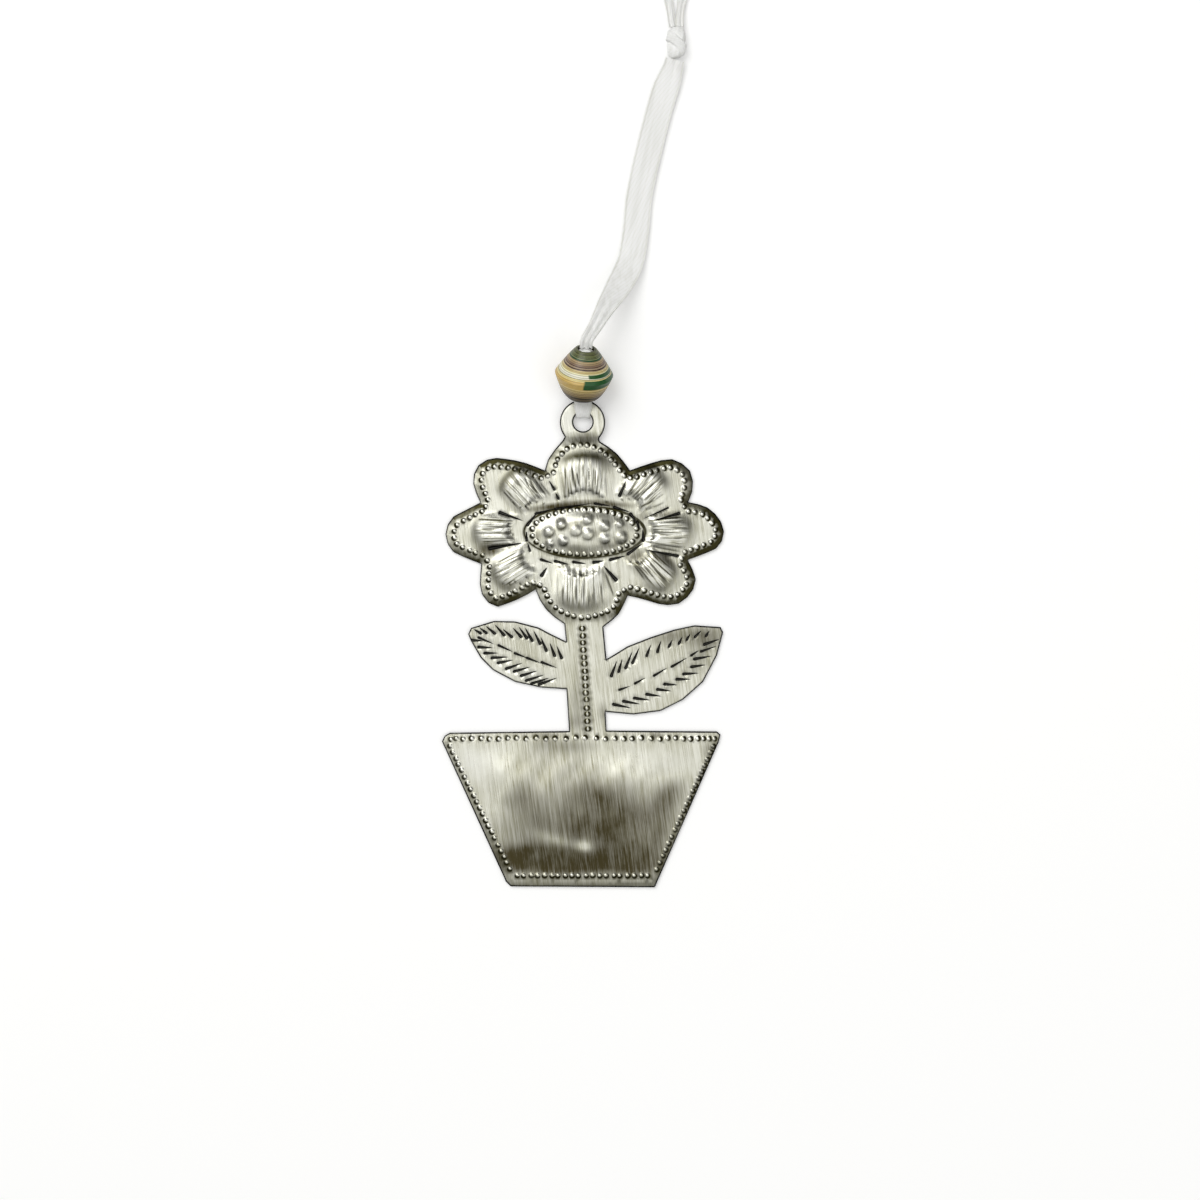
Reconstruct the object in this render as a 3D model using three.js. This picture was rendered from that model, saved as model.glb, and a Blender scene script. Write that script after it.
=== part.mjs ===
// Potted flower ornament. A flower in a pot is cut from one sheet of steel, with the eye it hangs by,
// and is embossed from the back. A satin ribbon, folded in half, goes through the eye, up through one
// rolled paper bead and into a knot. The ornament lies on its back, in millimetres: X to the right,
// Y up the plant, Z out of its face.
import * as THREE from "three";

// The sheet and its relief
const sheetThickness = 0.6;
const edgeStep = 1.5; // spacing of points along the cut edge
const fillStep = 3.2; // spacing of points on plain sheet
const fillClearance = 1.35; // plain points keep this far from other points
const edgeClearance = 0.42; // and embossed ones this far from the edge
const dotSpacing = 0.42; // no two points of the dots and seeds are nearer than this
const fluteSpacing = 0.7; // and no two of the flutes
const dotRadius = 0.85;
const dotHeight = 0.42;
const dotPitch = 1.72;
const dotInset = 2; // from the cut edge to the middle of a dot
const petalSamples = 40; // steps along a petal's edge that the dots are set in from
const fluteHeight = 1.25;
const fluteGroove = 0.35; // depth of the grooves between flutes
const seedHeight = 0.55;
const ovalCrown = 1.1;
const potCrown = 1.3;
const potRim = 2.6; // the pot is flat this far from its sides
const potBevel = 12.4; // and its crown takes this much more to rise

// The eye: a ring at the top of the sheet, bent forwards so that the ribbon passes behind it
const eye = { x: -0.1, y: 106.7, radius: 5.2 };
const eyeHole = { x: 0, y: 106.85, radius: 2.2 };
const rimY = eye.y + eye.radius;
const eyeLift = 1.2;
const eyeBendFrom = 101.4;
const eyeBendTo = 104.2;

// The dotted oval in the middle of the flower
const oval = { x: 0.3, y: 82.1, halfWidth: 12.1, halfHeight: 5.6, dots: 33 };
const seeds = [
  [-5.4, 1.9, 1.3], [-2.0, 0.5, 1.5], [0.6, 3.0, 1.3], [0.7, -0.3, 1.5], [4.6, 1.4, 1.3],
  [4.6, -1.4, 1.3], [8.4, -1.2, 1.5], [-8.3, 0.2, 1.4], [-4.9, -2.0, 1.2], [-8.0, -2.6, 1.0], [8.0, 2.0, 1.0],
];

// The cut edge, anticlockwise, as one run of the snips from each corner to the next. Two points are a
// straight cut and more are a smooth one.
const potEdge = [
  [[-16.6, 0.2], [16.5, 0]],
  [[16.5, 0], [31.2, 33.4]],
  [[31.2, 33.4], [31.6, 35.1]],
  [[31.6, 35.1], [30.8, 35.8]],
  [[30.8, 35.8], [5.4, 36]],
];
const rightLeafEdge = [
  [[5.4, 36], [5.2, 40.3]],
  [[5.2, 40.3], [11.6, 39.7], [17.8, 40.5], [23, 43.1], [27.6, 47.2], [30.8, 53.3], [32.2, 58.6]],
  [[32.2, 58.6], [31.6, 59.8]],
  [[31.6, 59.8], [25.6, 60.2], [20.9, 59.2], [15.4, 57.4], [10.3, 55.4], [5.4, 52.4]],
  [[5.4, 52.4], [4.7, 59.8]],
];
const leftLeafEdge = [
  [[-4.3, 60.5], [-3.9, 56.5]],
  [[-3.9, 56.5], [-7.6, 58.3], [-10.2, 59.7], [-15.6, 61.1], [-20.5, 61.2], [-25.7, 59.6]],
  [[-25.7, 59.6], [-26.4, 58.2], [-25.8, 56.7]],
  [[-25.8, 56.7], [-23.5, 52.7], [-20.7, 49.9], [-15.6, 47.2], [-9.7, 45.9], [-3.8, 45.5]],
  [[-3.8, 45.5], [-3.2, 35.9]],
];
const potCornerEdge = [
  [[-3.2, 35.9], [-30.6, 35.5]],
  [[-30.6, 35.5], [-31.8, 34.8]],
  [[-31.8, 34.8], [-32.4, 33.5]],
  [[-32.4, 33.5], [-17.7, 1.3]],
  [[-17.7, 1.3], [-16.6, 0.2]],
];
const petalEdges = {
  southEast: [
    [10.3, 67], [13.8, 66.2], [18.4, 64.9], [22.3, 65.3], [25.2, 68.2], [25.9, 71.1], [24.1, 75.2],
  ],
  east: [
    [24.1, 75.2], [27.3, 76.4], [31.1, 78.2], [32.4, 81.6], [31.3, 84.7], [28.4, 87.4], [24.2, 88.5],
  ],
  northEast: [
    [24.2, 88.5], [25.2, 91.4], [24.9, 95.2], [22.3, 97.7], [19.6, 98.4], [15.4, 97.4], [10.8, 95.8],
  ],
  northWest: [
    [-8.8, 95.8], [-13.2, 97.5], [-17.5, 98.4], [-21.4, 98.5], [-24.5, 96.4], [-25.2, 92.6], [-23.6, 88.4],
  ],
  west: [
    [-23.6, 88.4], [-26.9, 86.7], [-30.2, 84.8], [-31.6, 81.3], [-30.4, 77.6], [-27.4, 75.9], [-23.4, 74.3],
  ],
  southWest: [
    [-23.4, 74.3], [-23.6, 71.2], [-23.4, 67.6], [-20.4, 64.5], [-16.8, 65.4], [-13.6, 66.8], [-10.9, 68.4],
  ],
};
const southPetalRight = [[4.7, 59.8], [6.4, 61.1], [8.3, 62.9], [10.3, 67]];
const southPetalLeft = [[-10.9, 68.4], [-9.6, 65.4], [-7.5, 62.8], [-4.3, 60.5]];
const northPetalRight = [[10.8, 95.8], [9.2, 98], [7, 100.4], [3.9, 102.4]];
const northPetalLeft = [[-4.7, 102.6], [-7.6, 99.2], [-8.2, 97.4], [-8.8, 95.8]];

// A fan of flutes on each petal: its middle, half its width and length, the heading of its outer end in
// degrees, and how many flutes it has
const fans = [
  { x: 0.2, y: 94.5, halfWidth: 6.36, halfLength: 5.29, heading: 90, flutes: 7 },
  { x: 14.5, y: 91.8, halfWidth: 4.56, halfLength: 4.97, heading: 47, flutes: 4 },
  { x: 19.8, y: 81.7, halfWidth: 4.45, halfLength: 5.18, heading: 0, flutes: 4 },
  { x: 16.6, y: 72.9, halfWidth: 4.03, halfLength: 5.18, heading: -46, flutes: 4 },
  { x: -0.2, y: 68.8, halfWidth: 6.25, halfLength: 5.18, heading: -90, flutes: 7 },
  { x: -16.3, y: 73.1, halfWidth: 4.24, halfLength: 4.75, heading: 209, flutes: 4 },
  { x: -20.5, y: 81.9, halfWidth: 4.03, halfLength: 4.97, heading: 180, flutes: 4 },
  { x: -14, y: 91.3, halfWidth: 4.56, halfLength: 5.08, heading: 131, flutes: 4 },
];
const innerShare = 0.84; // width of a fan's inner end beside its outer one
const fanBow = 0.36; // how far its outer end is rounded, as a share of half its width
const fanStations = [0, 0.14, 0.5, 0.84, 1]; // from the foot of a flute over its crown to its other foot

// Chisel strokes: head x and y, tail x and y, and half the width of the head. Each is a wedge, wide and
// deep at its head and thin at its tail.
const strokeDepth = 0.32;
// Cross-sections of a stroke: share of its length from the head, share of the head's width, and of its depth
const strokeRows = [[0.2, 0.88, 1], [0.6, 0.52, 0.5]];
const strokeClearance = 0.48; // a stroke that comes nearer than this to other relief is left out
const leafStrokes = [
  [-23.2, 58.2, -25.1, 59.3, 0.33], [-21.9, 58.2, -23.7, 59.6, 0.33], [-20, 58.1, -22.3, 60, 0.33],
  [-17.9, 57.7, -20.2, 60.3, 0.33], [-16.1, 57.3, -18.4, 59.3, 0.33], [-14, 57.3, -16.1, 59.6, 0.33],
  [-12.7, 57, -14.7, 59.8, 0.33], [-11.5, 56.4, -13.3, 59.6, 0.33], [-9.7, 55.7, -11.3, 58.9, 0.33],
  [-8.3, 54.1, -9.7, 57.5, 0.33], [-6.4, 52.9, -7.6, 56.1, 0.33], [-4.8, 52.4, -6, 55.4, 0.33],
  [-25.8, 56.8, -23, 56.6, 0.33], [-24.3, 55.2, -20.7, 55, 0.33], [-22.9, 53.8, -19.6, 53.8, 0.33],
  [-21.2, 52.7, -17.2, 52.9, 0.33], [-19.8, 51.5, -16.1, 52.2, 0.33], [-17.9, 50.1, -14, 51.5, 0.33],
  [-16.1, 49.5, -12.2, 50.6, 0.33], [-14.5, 48.5, -10.6, 49.7, 0.33], [-13.3, 47.4, -9, 48.8, 0.33],
  [-12, 46.7, -7.8, 48.1, 0.33], [-10.3, 46.5, -6, 48.1, 0.33], [6.4, 48.3, 7.8, 52, 0.33],
  [8.1, 49.2, 9, 52.4, 0.33], [9.7, 50.1, 11.3, 54.1, 0.33], [11.3, 51.3, 12.9, 55, 0.33],
  [14.5, 52.9, 15.6, 55.7, 0.33], [17, 53.8, 17.9, 56.6, 0.33], [19.6, 55, 20.5, 56.8, 0.33],
  [21.9, 55.7, 22.8, 57.5, 0.33], [23.7, 56.6, 24.6, 58.2, 0.33], [25.5, 57.3, 27.1, 58.9, 0.33],
  [28.1, 57.5, 29, 58.9, 0.33], [6.7, 42.1, 11, 41.2, 0.33], [9, 42.8, 13.1, 42.1, 0.33],
  [11.5, 43.5, 15.4, 43, 0.33], [14.3, 44.4, 17.9, 43.9, 0.33], [16.8, 45.5, 20.2, 45.1, 0.33],
  [18.4, 46.7, 21.6, 46.5, 0.33], [21.2, 47.8, 24.6, 47.8, 0.33], [22.8, 49, 26.5, 49.2, 0.33],
  [24.6, 50.6, 28.1, 51.1, 0.33], [25.3, 52.4, 29.4, 53.1, 0.33], [27.6, 55.7, 31.3, 57, 0.33],
  [-24.2, 57.5, -20.5, 55.9, 0.3], [-19.6, 55.7, -16.1, 54.1, 0.3], [-15.9, 53.9, -12.9, 52.7, 0.3],
  [-13.1, 52.8, -9.7, 51.5, 0.3], [-9.7, 51.8, -6, 50.4, 0.3], [8.1, 45.3, 10.8, 46.2, 0.3],
  [11.7, 46.7, 14.3, 48.1, 0.3], [16.1, 48.5, 19.3, 50.4, 0.3], [20.2, 50.6, 23.9, 52.7, 0.3],
  [24.6, 53.1, 26.7, 54.5, 0.3], [26.9, 54.1, 30.6, 55.4, 0.3],
];
const petalStrokes = [
  [-6.4, 91.1, -7.8, 93.4, 0.34], [-5.5, 89, -6.3, 90.6, 0.36], [-12.9, 83, -10.6, 86, 0.42],
  [-12.9, 79.4, -13, 81.9, 0.32], [-12.1, 77, -12.7, 79.1, 0.32], [-9.9, 75.4, -6.9, 74.4, 0.34],
  [-6.7, 75, -3.2, 74.2, 0.34], [-2.5, 74.8, 0.7, 74.3, 0.36], [2.1, 74.6, 4.8, 75, 0.42],
  [-9.7, 71.3, -8.3, 73.4, 0.55], [13.9, 79.4, 13.7, 82.3, 0.42], [10.1, 76.4, 13.6, 78.9, 0.42],
  [6, 75.2, 9.7, 76.1, 0.42], [10.8, 86, 12.2, 84, 0.45], [6.9, 87.4, 10.8, 86.2, 0.34],
  [2.5, 88.2, 6.2, 87.6, 0.3], [-11, 85.8, -6.4, 86.9, 0.3], [-6.4, 86.9, 2.1, 88.2, 0.26],
  [12.4, 84.2, 13.1, 82.1, 0.4], [19.6, 87.2, 13.8, 84.6, 0.3],
];

// Rows of dots that don't follow a petal: the stem and the four sides of the pot
const stemDots = { from: [-0.2, 60.3], to: [1.2, 35.6], count: 15 };
const potDots = [
  { from: [-29.4, 34], to: [30, 34.3], count: 29 },
  { from: [29.2, 32.1], to: [16.9, 4.8], count: 16 },
  { from: [16, 2.8], to: [-15.6, 2.8], count: 18 },
  { from: [-16.6, 4.6], to: [-30.1, 32.2], count: 18 },
];

// The bead: rolled paper, turned about its own Y axis
const beadLength = 12.3;
const beadRadius = 6.6;
const beadEndRadius = 2.3;
const beadBore = 1.9;
const beadBands = 8; // turns of paper that step out on each half
const beadStep = 0.12; // thickness of a step
const beadBevel = 0.08; // half the slope of a step
const beadSides = 26;
const beadTilt = 33; // degrees that its upper end stands off the table
const beadLean = 5; // degrees to the right
const beadCentre = new THREE.Vector3(0.3, 117.5, 6.1);

// The ribbon: 6 mm satin, drawn together where it is threaded
const ribbonWidth = 6;
const ribbonThickness = 0.25;
const plyGap = 0.3; // between the two halves of the folded ribbon
const bunch = { halfWidth: 1.35, halfThickness: 0.4 }; // both edges folded in
const rimGap = 0.3; // from the ribbon to the steel
const bightEnds = { front: 0.4, back: 0.8 }; // short of the eye's rim on the face, past it on the back
const neckGap = 0.65; // from the rim of the eye to the middle of the ribbon that rises past it
const coreRecess = 0.7; // the stretch in the bead starts this far inside its lower mouth
const mouthStations = [0.3, 1.9]; // the ribbon leaves the bead straight, from one of these to the other
const legSteps = 30;
const knotCentre = new THREE.Vector3(21.4, 193.7, 1.75);
const knotHalf = { width: 2.6, length: 3.2, thickness: 1.7 };
const knotSides = 14;
const knotSlant = 0.22;
// Radius against height, as shares of half the knot: its two turns swell on each side of a waist
const knotTurns = [
  [0, -1], [0.5, -1], [0.86, -0.7], [1, -0.35], [0.8, -0.05], [0.97, 0.3], [0.8, 0.72], [0.42, 1], [0, 1],
];
// The middle line from the bead's mouth to the knot: up out of the bead, over and down onto the table
const legRoute = [
  [2.7, 127.4, 9.7], [5.2, 132.3, 7.2], [8.3, 137.9, 3.4], [10.9, 143.6, 1.1], [12.1, 150.5, 0.55],
  [12.9, 158.5, 0.45], [15.2, 169.4, 0.45], [18.3, 181.3, 0.5], [20.5, 187.6, 1], [21.1, 189.9, 1.6],
];
const tailRoutes = {
  ribbon_tail_left: [
    [20.6, 197.4, 1.5], [20.2, 200.5, 0.9], [19.6, 204.5, 0.45], [18.2, 211.5, 0.3], [16.6, 218.3, 0.3],
  ],
  ribbon_tail_right: [
    [22.2, 197.4, 1.5], [22.3, 200.5, 0.9], [22.9, 204.5, 0.45], [24.8, 211.5, 0.3], [26.9, 217.2, 0.3],
  ],
};
const tailSteps = 12;
const tailNarrow = 1.3; // width at the knot

// Materials
const steel = new THREE.MeshStandardMaterial({ color: 0x9a9890, roughness: 0.38, metalness: 1 });
const paper = new THREE.MeshStandardMaterial({ color: 0x8d7a55, roughness: 0.25, metalness: 0 });
const satin = new THREE.MeshStandardMaterial({ color: 0xf1efea, roughness: 0.45, metalness: 0 });

const smooth = (value, from, to) => THREE.MathUtils.smoothstep(value, from, to);
const vector2 = ([x, y]) => new THREE.Vector2(x, y);
const vector3 = ([x, y, z]) => new THREE.Vector3(x, y, z);

// Points along one run of the snips, its last corner left to the next run.
function runPoints(run) {
  const ends = run.map(vector2);
  const cut = run.length === 2 ? new THREE.LineCurve(...ends) : new THREE.SplineCurve(ends);
  return cut.getSpacedPoints(Math.max(1, Math.round(cut.getLength() / edgeStep))).slice(0, -1);
}

// The outer arc of the eye, from the right of its neck over the top to the left.
function eyeRun() {
  const [right, left] = [northPetalRight.at(-1), northPetalLeft[0]];
  const { x, y, radius } = eye;
  const [from, to] = [right, left].map((corner) => Math.atan2(corner[1] - y, corner[0] - x));
  const arc = new THREE.EllipseCurve(x, y, radius, radius, from, to + 2 * Math.PI);
  return [vector2(right), ...arc.getSpacedPoints(24).slice(1, -1), vector2(left)].slice(0, -1);
}

function outline() {
  const { southEast, east, northEast, northWest, west, southWest } = petalEdges;
  const right = [southPetalRight, southEast, east, northEast, northPetalRight];
  const left = [northPetalLeft, northWest, west, southWest, southPetalLeft];
  return [
    ...[...potEdge, ...rightLeafEdge, ...right].flatMap(runPoints),
    ...eyeRun(),
    ...[...left, ...leftLeafEdge, ...potCornerEdge].flatMap(runPoints),
  ];
}

function holeEdge() {
  const { x, y, radius } = eyeHole;
  return new THREE.EllipseCurve(x, y, radius, radius, 0, 2 * Math.PI).getSpacedPoints(20).slice(0, -1);
}

function isInside(point, polygon) {
  let inside = false;
  polygon.forEach((a, i) => {
    const b = polygon[(i + 1) % polygon.length];
    const crosses = a.y > point.y !== b.y > point.y;
    if (crosses && point.x < a.x + ((point.y - a.y) / (b.y - a.y)) * (b.x - a.x)) inside = !inside;
  });
  return inside;
}

function nearest(point, others) {
  const distance = (other) => Math.hypot(point.x - other.x, point.y - other.y);
  return others.reduce((least, other) => Math.min(least, distance(other)), Infinity);
}

// How far a point of the pot's face is inside its nearest side, below zero off the pot.
function insidePot(x, y) {
  const sides = [
    [[-17.4, 0], [17, 0]],
    [[16.5, 0], [32, 35.8]],
    [[31, 35.9], [-31, 35.9]],
    [[-32.9, 35.9], [-17.2, 0]],
  ];
  const distances = sides.map(([[ax, ay], [bx, by]]) =>
    ((bx - ax) * (y - ay) - (by - ay) * (x - ax)) / Math.hypot(bx - ax, by - ay));
  return Math.min(...distances);
}

// Height of the back of the sheet, without the dots, flutes and seeds.
function crown(x, y) {
  const pot = potCrown * smooth(insidePot(x, y), potRim, potRim + potBevel);
  const reach = Math.hypot((x - oval.x) / oval.halfWidth, (y - oval.y) / oval.halfHeight);
  const middle = ovalCrown * (1 - smooth(reach, 0.35, 1.15));
  const lift = y > eyeBendFrom ? eyeLift * smooth(y, eyeBendFrom, eyeBendTo) : 0;
  return pot + middle + lift;
}

// A point of the sheet: raised is pressed up from the back, cut is taken off the face only.
const spot = (x, y, raised = 0, cut = 0) => ({ x, y, raised, cut });

// A dome of the given radius and height: its top and six points round its foot.
function dome(x, y, radius, height, turn = 0) {
  const foot = Array.from({ length: 6 }, (_, i) => {
    const angle = turn + (i * Math.PI) / 3;
    return spot(x + radius * Math.cos(angle), y + radius * Math.sin(angle));
  });
  return [spot(x, y, height), ...foot];
}

// Dots along a curve. Neighbours share a foot point, because the dots stand a diameter apart.
function dotsAlong(curve, count) {
  return Array.from({ length: count }, (_, i) => {
    const at = (i + 0.5) / count;
    const { x: tx, y: ty } = curve.getTangentAt(at);
    const { x, y } = curve.getPointAt(at);
    return dome(x, y, dotRadius, dotHeight, Math.atan2(ty, tx));
  }).flat();
}

// One row of dots goes round the flower inside its edge, and dips in at each notch between petals.
function flowerDots() {
  const { southEast, east, northEast, northWest, west, southWest } = petalEdges;
  const underEye = [[4, 102.6], [0, 103.6], [-4.4, 102.6]];
  const overStem = [[-4, 60.9], [0, 60], [4.6, 61]];
  const north = [...northPetalRight.slice(0, 3), ...underEye, ...northPetalLeft.slice(1)];
  const south = [...southPetalLeft.slice(0, 3), ...overStem, ...southPetalRight.slice(2)];
  const petals = [south, southEast, east, northEast, north, northWest, west, southWest];
  const edges = petals.map((petal) => new THREE.SplineCurve(petal.map(vector2)));
  const samples = edges.map((edge) => edge.getSpacedPoints(petalSamples));
  const inset = edges.flatMap((edge, petal) => samples[petal].map(({ x, y }, i) => {
    const { x: tx, y: ty } = edge.getTangentAt(i / petalSamples);
    return new THREE.Vector2(x - dotInset * ty, y + dotInset * tx);
  }));
  const isClear = (point) => nearest(point, samples.flat()) > 0.97 * dotInset;
  const row = new THREE.SplineCurve(inset.filter(isClear));
  row.points.push(row.points[0]);
  row.arcLengthDivisions = 3 * row.points.length;
  return dotsAlong(row, Math.round(row.getLength() / dotPitch));
}

function rowDots({ from, to, count }) {
  return dotsAlong(new THREE.LineCurve(vector2(from), vector2(to)), count);
}

function ovalDots() {
  const ring = new THREE.EllipseCurve(oval.x, oval.y, oval.halfWidth, oval.halfHeight, 0, 2 * Math.PI);
  return dotsAlong(ring, oval.dots);
}

// A fan of flutes. Odd lines run along the ridges and even ones along the grooves, and the first and
// last lie flat.
function fanPoints({ x: middleX, y: middleY, halfWidth, halfLength, heading, flutes }) {
  const angle = THREE.MathUtils.degToRad(heading);
  const along = new THREE.Vector2(Math.cos(angle), Math.sin(angle));
  const lines = 2 * flutes;
  return Array.from({ length: lines + 1 }, (_, line) => {
    const side = (2 * line) / lines - 1;
    const isFoot = line === 0 || line === lines;
    const ridge = isFoot ? 0 : fluteHeight * (1 - 0.25 * side * side) - (line % 2 ? 0 : fluteGroove);
    return fanStations.map((station) => {
      const aside = side * halfWidth * THREE.MathUtils.lerp(innerShare, 1, station);
      const out = (2 * station - 1) * halfLength - fanBow * halfWidth * side * side * station;
      const isCrown = station > 0 && station < 1;
      const x = middleX + out * along.x - aside * along.y;
      return spot(x, middleY + out * along.y + aside * along.x, isCrown ? ridge : 0);
    });
  });
}

function strokePoints([headX, headY, tailX, tailY, halfWidth]) {
  const along = new THREE.Vector2(tailX - headX, tailY - headY);
  const side = new THREE.Vector2(-along.y, along.x).setLength(halfWidth);
  const at = (share, aside, cut = 0) =>
    spot(headX + share * along.x + aside * side.x, headY + share * along.y + aside * side.y, 0, cut);
  const rows = strokeRows.flatMap(([share, width, depth]) =>
    [at(share, 0, depth * strokeDepth), at(share, width), at(share, -width)]);
  return [...rows, at(0, 1), at(0, -1), at(1, 0)];
}

function seedPoints() {
  return seeds.flatMap(([x, y, radius]) => dome(oval.x + x, oval.y + y, radius, seedHeight));
}

// Plain sheet: a net of points in staggered rows, clear of the fans.
function fillPoints(fanLines) {
  const outlines = fanLines.map((lines) => [...lines[0], ...lines.at(-1).toReversed()]);
  const points = [];
  for (let row = 0; row * fillStep * 0.87 < 112; row++)
    for (let x = -33 + (row % 2) * 0.5 * fillStep; x < 33; x += fillStep)
      points.push(spot(x, row * fillStep * 0.87));
  return points.filter((point) => !outlines.some((fan) => isInside(point, fan)));
}

// Delaunay triangles of plan points. Each new point clears the triangles whose circles hold it, and
// joins the rim of the gap that is left.
function triangulate(points) {
  const nudge = (seed) => 1e-4 * Math.sin(12.9898 * seed); // no four points then lie on one circle
  const far = 2000;
  const frame = [[-far, -far], [far, -far], [0, far]].map(vector2);
  const plan = [...points.map(({ x, y }, i) => ({ x: x + nudge(i + 1), y: y + nudge(i + 0.5) })), ...frame];
  const withCircle = (a, b, c) => {
    const [p, q, r] = [plan[a], plan[b], plan[c]];
    const [qx, qy, rx, ry] = [q.x - p.x, q.y - p.y, r.x - p.x, r.y - p.y];
    const twice = 2 * (qx * ry - qy * rx);
    const x = (ry * (qx * qx + qy * qy) - qy * (rx * rx + ry * ry)) / twice;
    const y = (qx * (rx * rx + ry * ry) - rx * (qx * qx + qy * qy)) / twice;
    return { corners: [a, b, c], x: p.x + x, y: p.y + y, squared: x * x + y * y };
  };
  const order = points.map((_, i) => i).sort((a, b) => plan[a].x - plan[b].x);
  const finished = [];
  let open = [withCircle(points.length, points.length + 1, points.length + 2)];
  for (const next of order) {
    const { x, y } = plan[next];
    const rim = new Map();
    open = open.filter((triangle) => {
      const dx = x - triangle.x;
      if (dx > 0 && dx * dx > triangle.squared) {
        finished.push(triangle);
        return false;
      }
      if (dx * dx + (y - triangle.y) ** 2 > triangle.squared) return true;
      const [a, b, c] = triangle.corners;
      for (const [from, to] of [[a, b], [b, c], [c, a]])
        if (!rim.delete(to + "," + from)) rim.set(from + "," + to, [from, to]);
      return false;
    });
    for (const [from, to] of rim.values()) open.push(withCircle(from, to, next));
  }
  return [...finished, ...open]
    .map(({ corners }) => corners)
    .filter((corners) => Math.max(...corners) < points.length);
}

// All plan points of the plate, edge first. A point too near an earlier one is left out, and so is a
// whole stroke.
function platePoints(edge, hole) {
  const points = [...edge, ...hole].map(({ x, y }) => spot(x, y));
  const boundary = points.slice();
  const isFree = (point, apart, fromEdge) =>
    isInside(point, edge) && !isInside(point, hole) &&
    nearest(point, boundary) > fromEdge && nearest(point, points) > apart;
  const add = (candidates, apart, fromEdge) => {
    for (const point of candidates) if (isFree(point, apart, fromEdge)) points.push(point);
  };
  const fanLines = fans.map(fanPoints);
  const dots = [...flowerDots(), ...[stemDots, ...potDots].flatMap(rowDots), ...ovalDots()];
  add(dots, dotSpacing, edgeClearance);
  add(fanLines.flat(2), fluteSpacing, edgeClearance);
  add(seedPoints(), dotSpacing, edgeClearance);
  for (const stroke of [...leafStrokes, ...petalStrokes].map(strokePoints))
    if (stroke.every((point) => isFree(point, strokeClearance, strokeClearance))) points.push(...stroke);
  add(fillPoints(fanLines), fillClearance, fillClearance);
  return points;
}

// The pressed sheet: the same net of triangles on its face and its back, joined by walls along every
// open edge.
function embossedPlate() {
  const edge = outline();
  const hole = holeEdge();
  const points = platePoints(edge, hole);
  const middle = (corners, key) => corners.reduce((sum, i) => sum + points[i][key] / 3, 0);
  const net = triangulate(points).filter((corners) => {
    const centre = { x: middle(corners, "x"), y: middle(corners, "y") };
    return isInside(centre, edge) && !isInside(centre, hole);
  });
  const backs = points.map(({ x, y, raised }) => [x, y, crown(x, y) + raised]);
  const fronts = backs.map(([x, y, z], i) => [x, y, z + sheetThickness - points[i].cut]);
  const count = points.length;
  const faces = net.flatMap(([a, b, c]) => [[a + count, b + count, c + count], [c, b, a]]);
  const sides = new Set(net.flatMap(([a, b, c]) => [a + "," + b, b + "," + c, c + "," + a]));
  for (const side of sides) {
    const [a, b] = side.split(",").map(Number);
    if (!sides.has(b + "," + a)) faces.push([a, b, b + count], [a, b + count, a + count]);
  }
  return solid([...backs, ...fronts], faces);
}

function solid(vertices, faces) {
  const geometry = new THREE.BufferGeometry();
  geometry.setAttribute("position", new THREE.Float32BufferAttribute(vertices.flat(), 3));
  geometry.setIndex(faces.flat());
  geometry.computeVertexNormals();
  return geometry;
}

// Radius of the bead's paper at a height above its middle: a plump lower half and a straighter upper one.
function beadOutside(height) {
  const share = 1 - Math.abs(height) / (beadLength / 2);
  const fullness = height < 0 ? 0.62 : 0.86;
  return beadEndRadius + (beadRadius - beadEndRadius) * share ** fullness;
}

// Rolled paper: every turn of the strip is a band, and each band ends in a step.
function paperBead() {
  const half = beadLength / 2;
  const band = half / (beadBands + 0.5);
  const profile = [];
  for (let i = -beadBands; i <= beadBands; i++) {
    const radius = beadOutside(i * band);
    const ramp = (Math.sign(i) * beadStep) / 2;
    const [low, high] = [(i - 0.5) * band + beadBevel, (i + 0.5) * band - beadBevel];
    profile.push(new THREE.Vector2(radius + ramp, low), new THREE.Vector2(radius - ramp, high));
  }
  const bore = [new THREE.Vector2(beadBore, half), new THREE.Vector2(beadBore, -half)];
  const ring = [...profile, ...bore, profile[0].clone()];
  return new THREE.LatheGeometry(ring, beadSides);
}

// A solid swept through stations. Each station holds its centre, the directions across and through the
// ribbon, and half its width and thickness. The section goes round from across towards through.
function swept(stations, section) {
  const vertices = stations.flatMap(({ centre, across, through, halfWidth, halfThickness }) =>
    section.map(([u, v]) => centre.clone().addScaledVector(across, u * halfWidth)
      .addScaledVector(through, v * halfThickness).toArray()));
  const ring = section.length;
  const faces = [];
  for (let i = 1; i < stations.length; i++)
    for (let j = 0; j < ring; j++) {
      const [a, b] = [(i - 1) * ring + j, (i - 1) * ring + ((j + 1) % ring)];
      faces.push([a, b, b + ring], [a, b + ring, a + ring]);
    }
  const last = (stations.length - 1) * ring;
  for (let j = 2; j < ring; j++) faces.push([0, j, j - 1], [last, last + j - 1, last + j]);
  return solid(vertices, faces);
}

const flatSection = [[-1, -1], [1, -1], [1, 1], [-1, 1]];
const roundSection = Array.from({ length: 10 }, (_, i) => (i * Math.PI) / 5)
  .map((angle) => [Math.cos(angle), Math.sin(angle)]);

// Stations along a curve of a ribbon that lies level from edge to edge.
function ribbonStations(curve, steps, halfWidthAt, halfThickness, shift = 0) {
  return Array.from({ length: steps + 1 }, (_, i) => {
    const at = i / steps;
    const tangent = curve.getTangentAt(at);
    const across = new THREE.Vector3(-tangent.y, tangent.x, 0).normalize();
    const through = tangent.clone().cross(across);
    const centre = curve.getPointAt(at).addScaledVector(through, shift);
    return { centre, across, through, halfWidth: halfWidthAt(at), halfThickness };
  });
}

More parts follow.
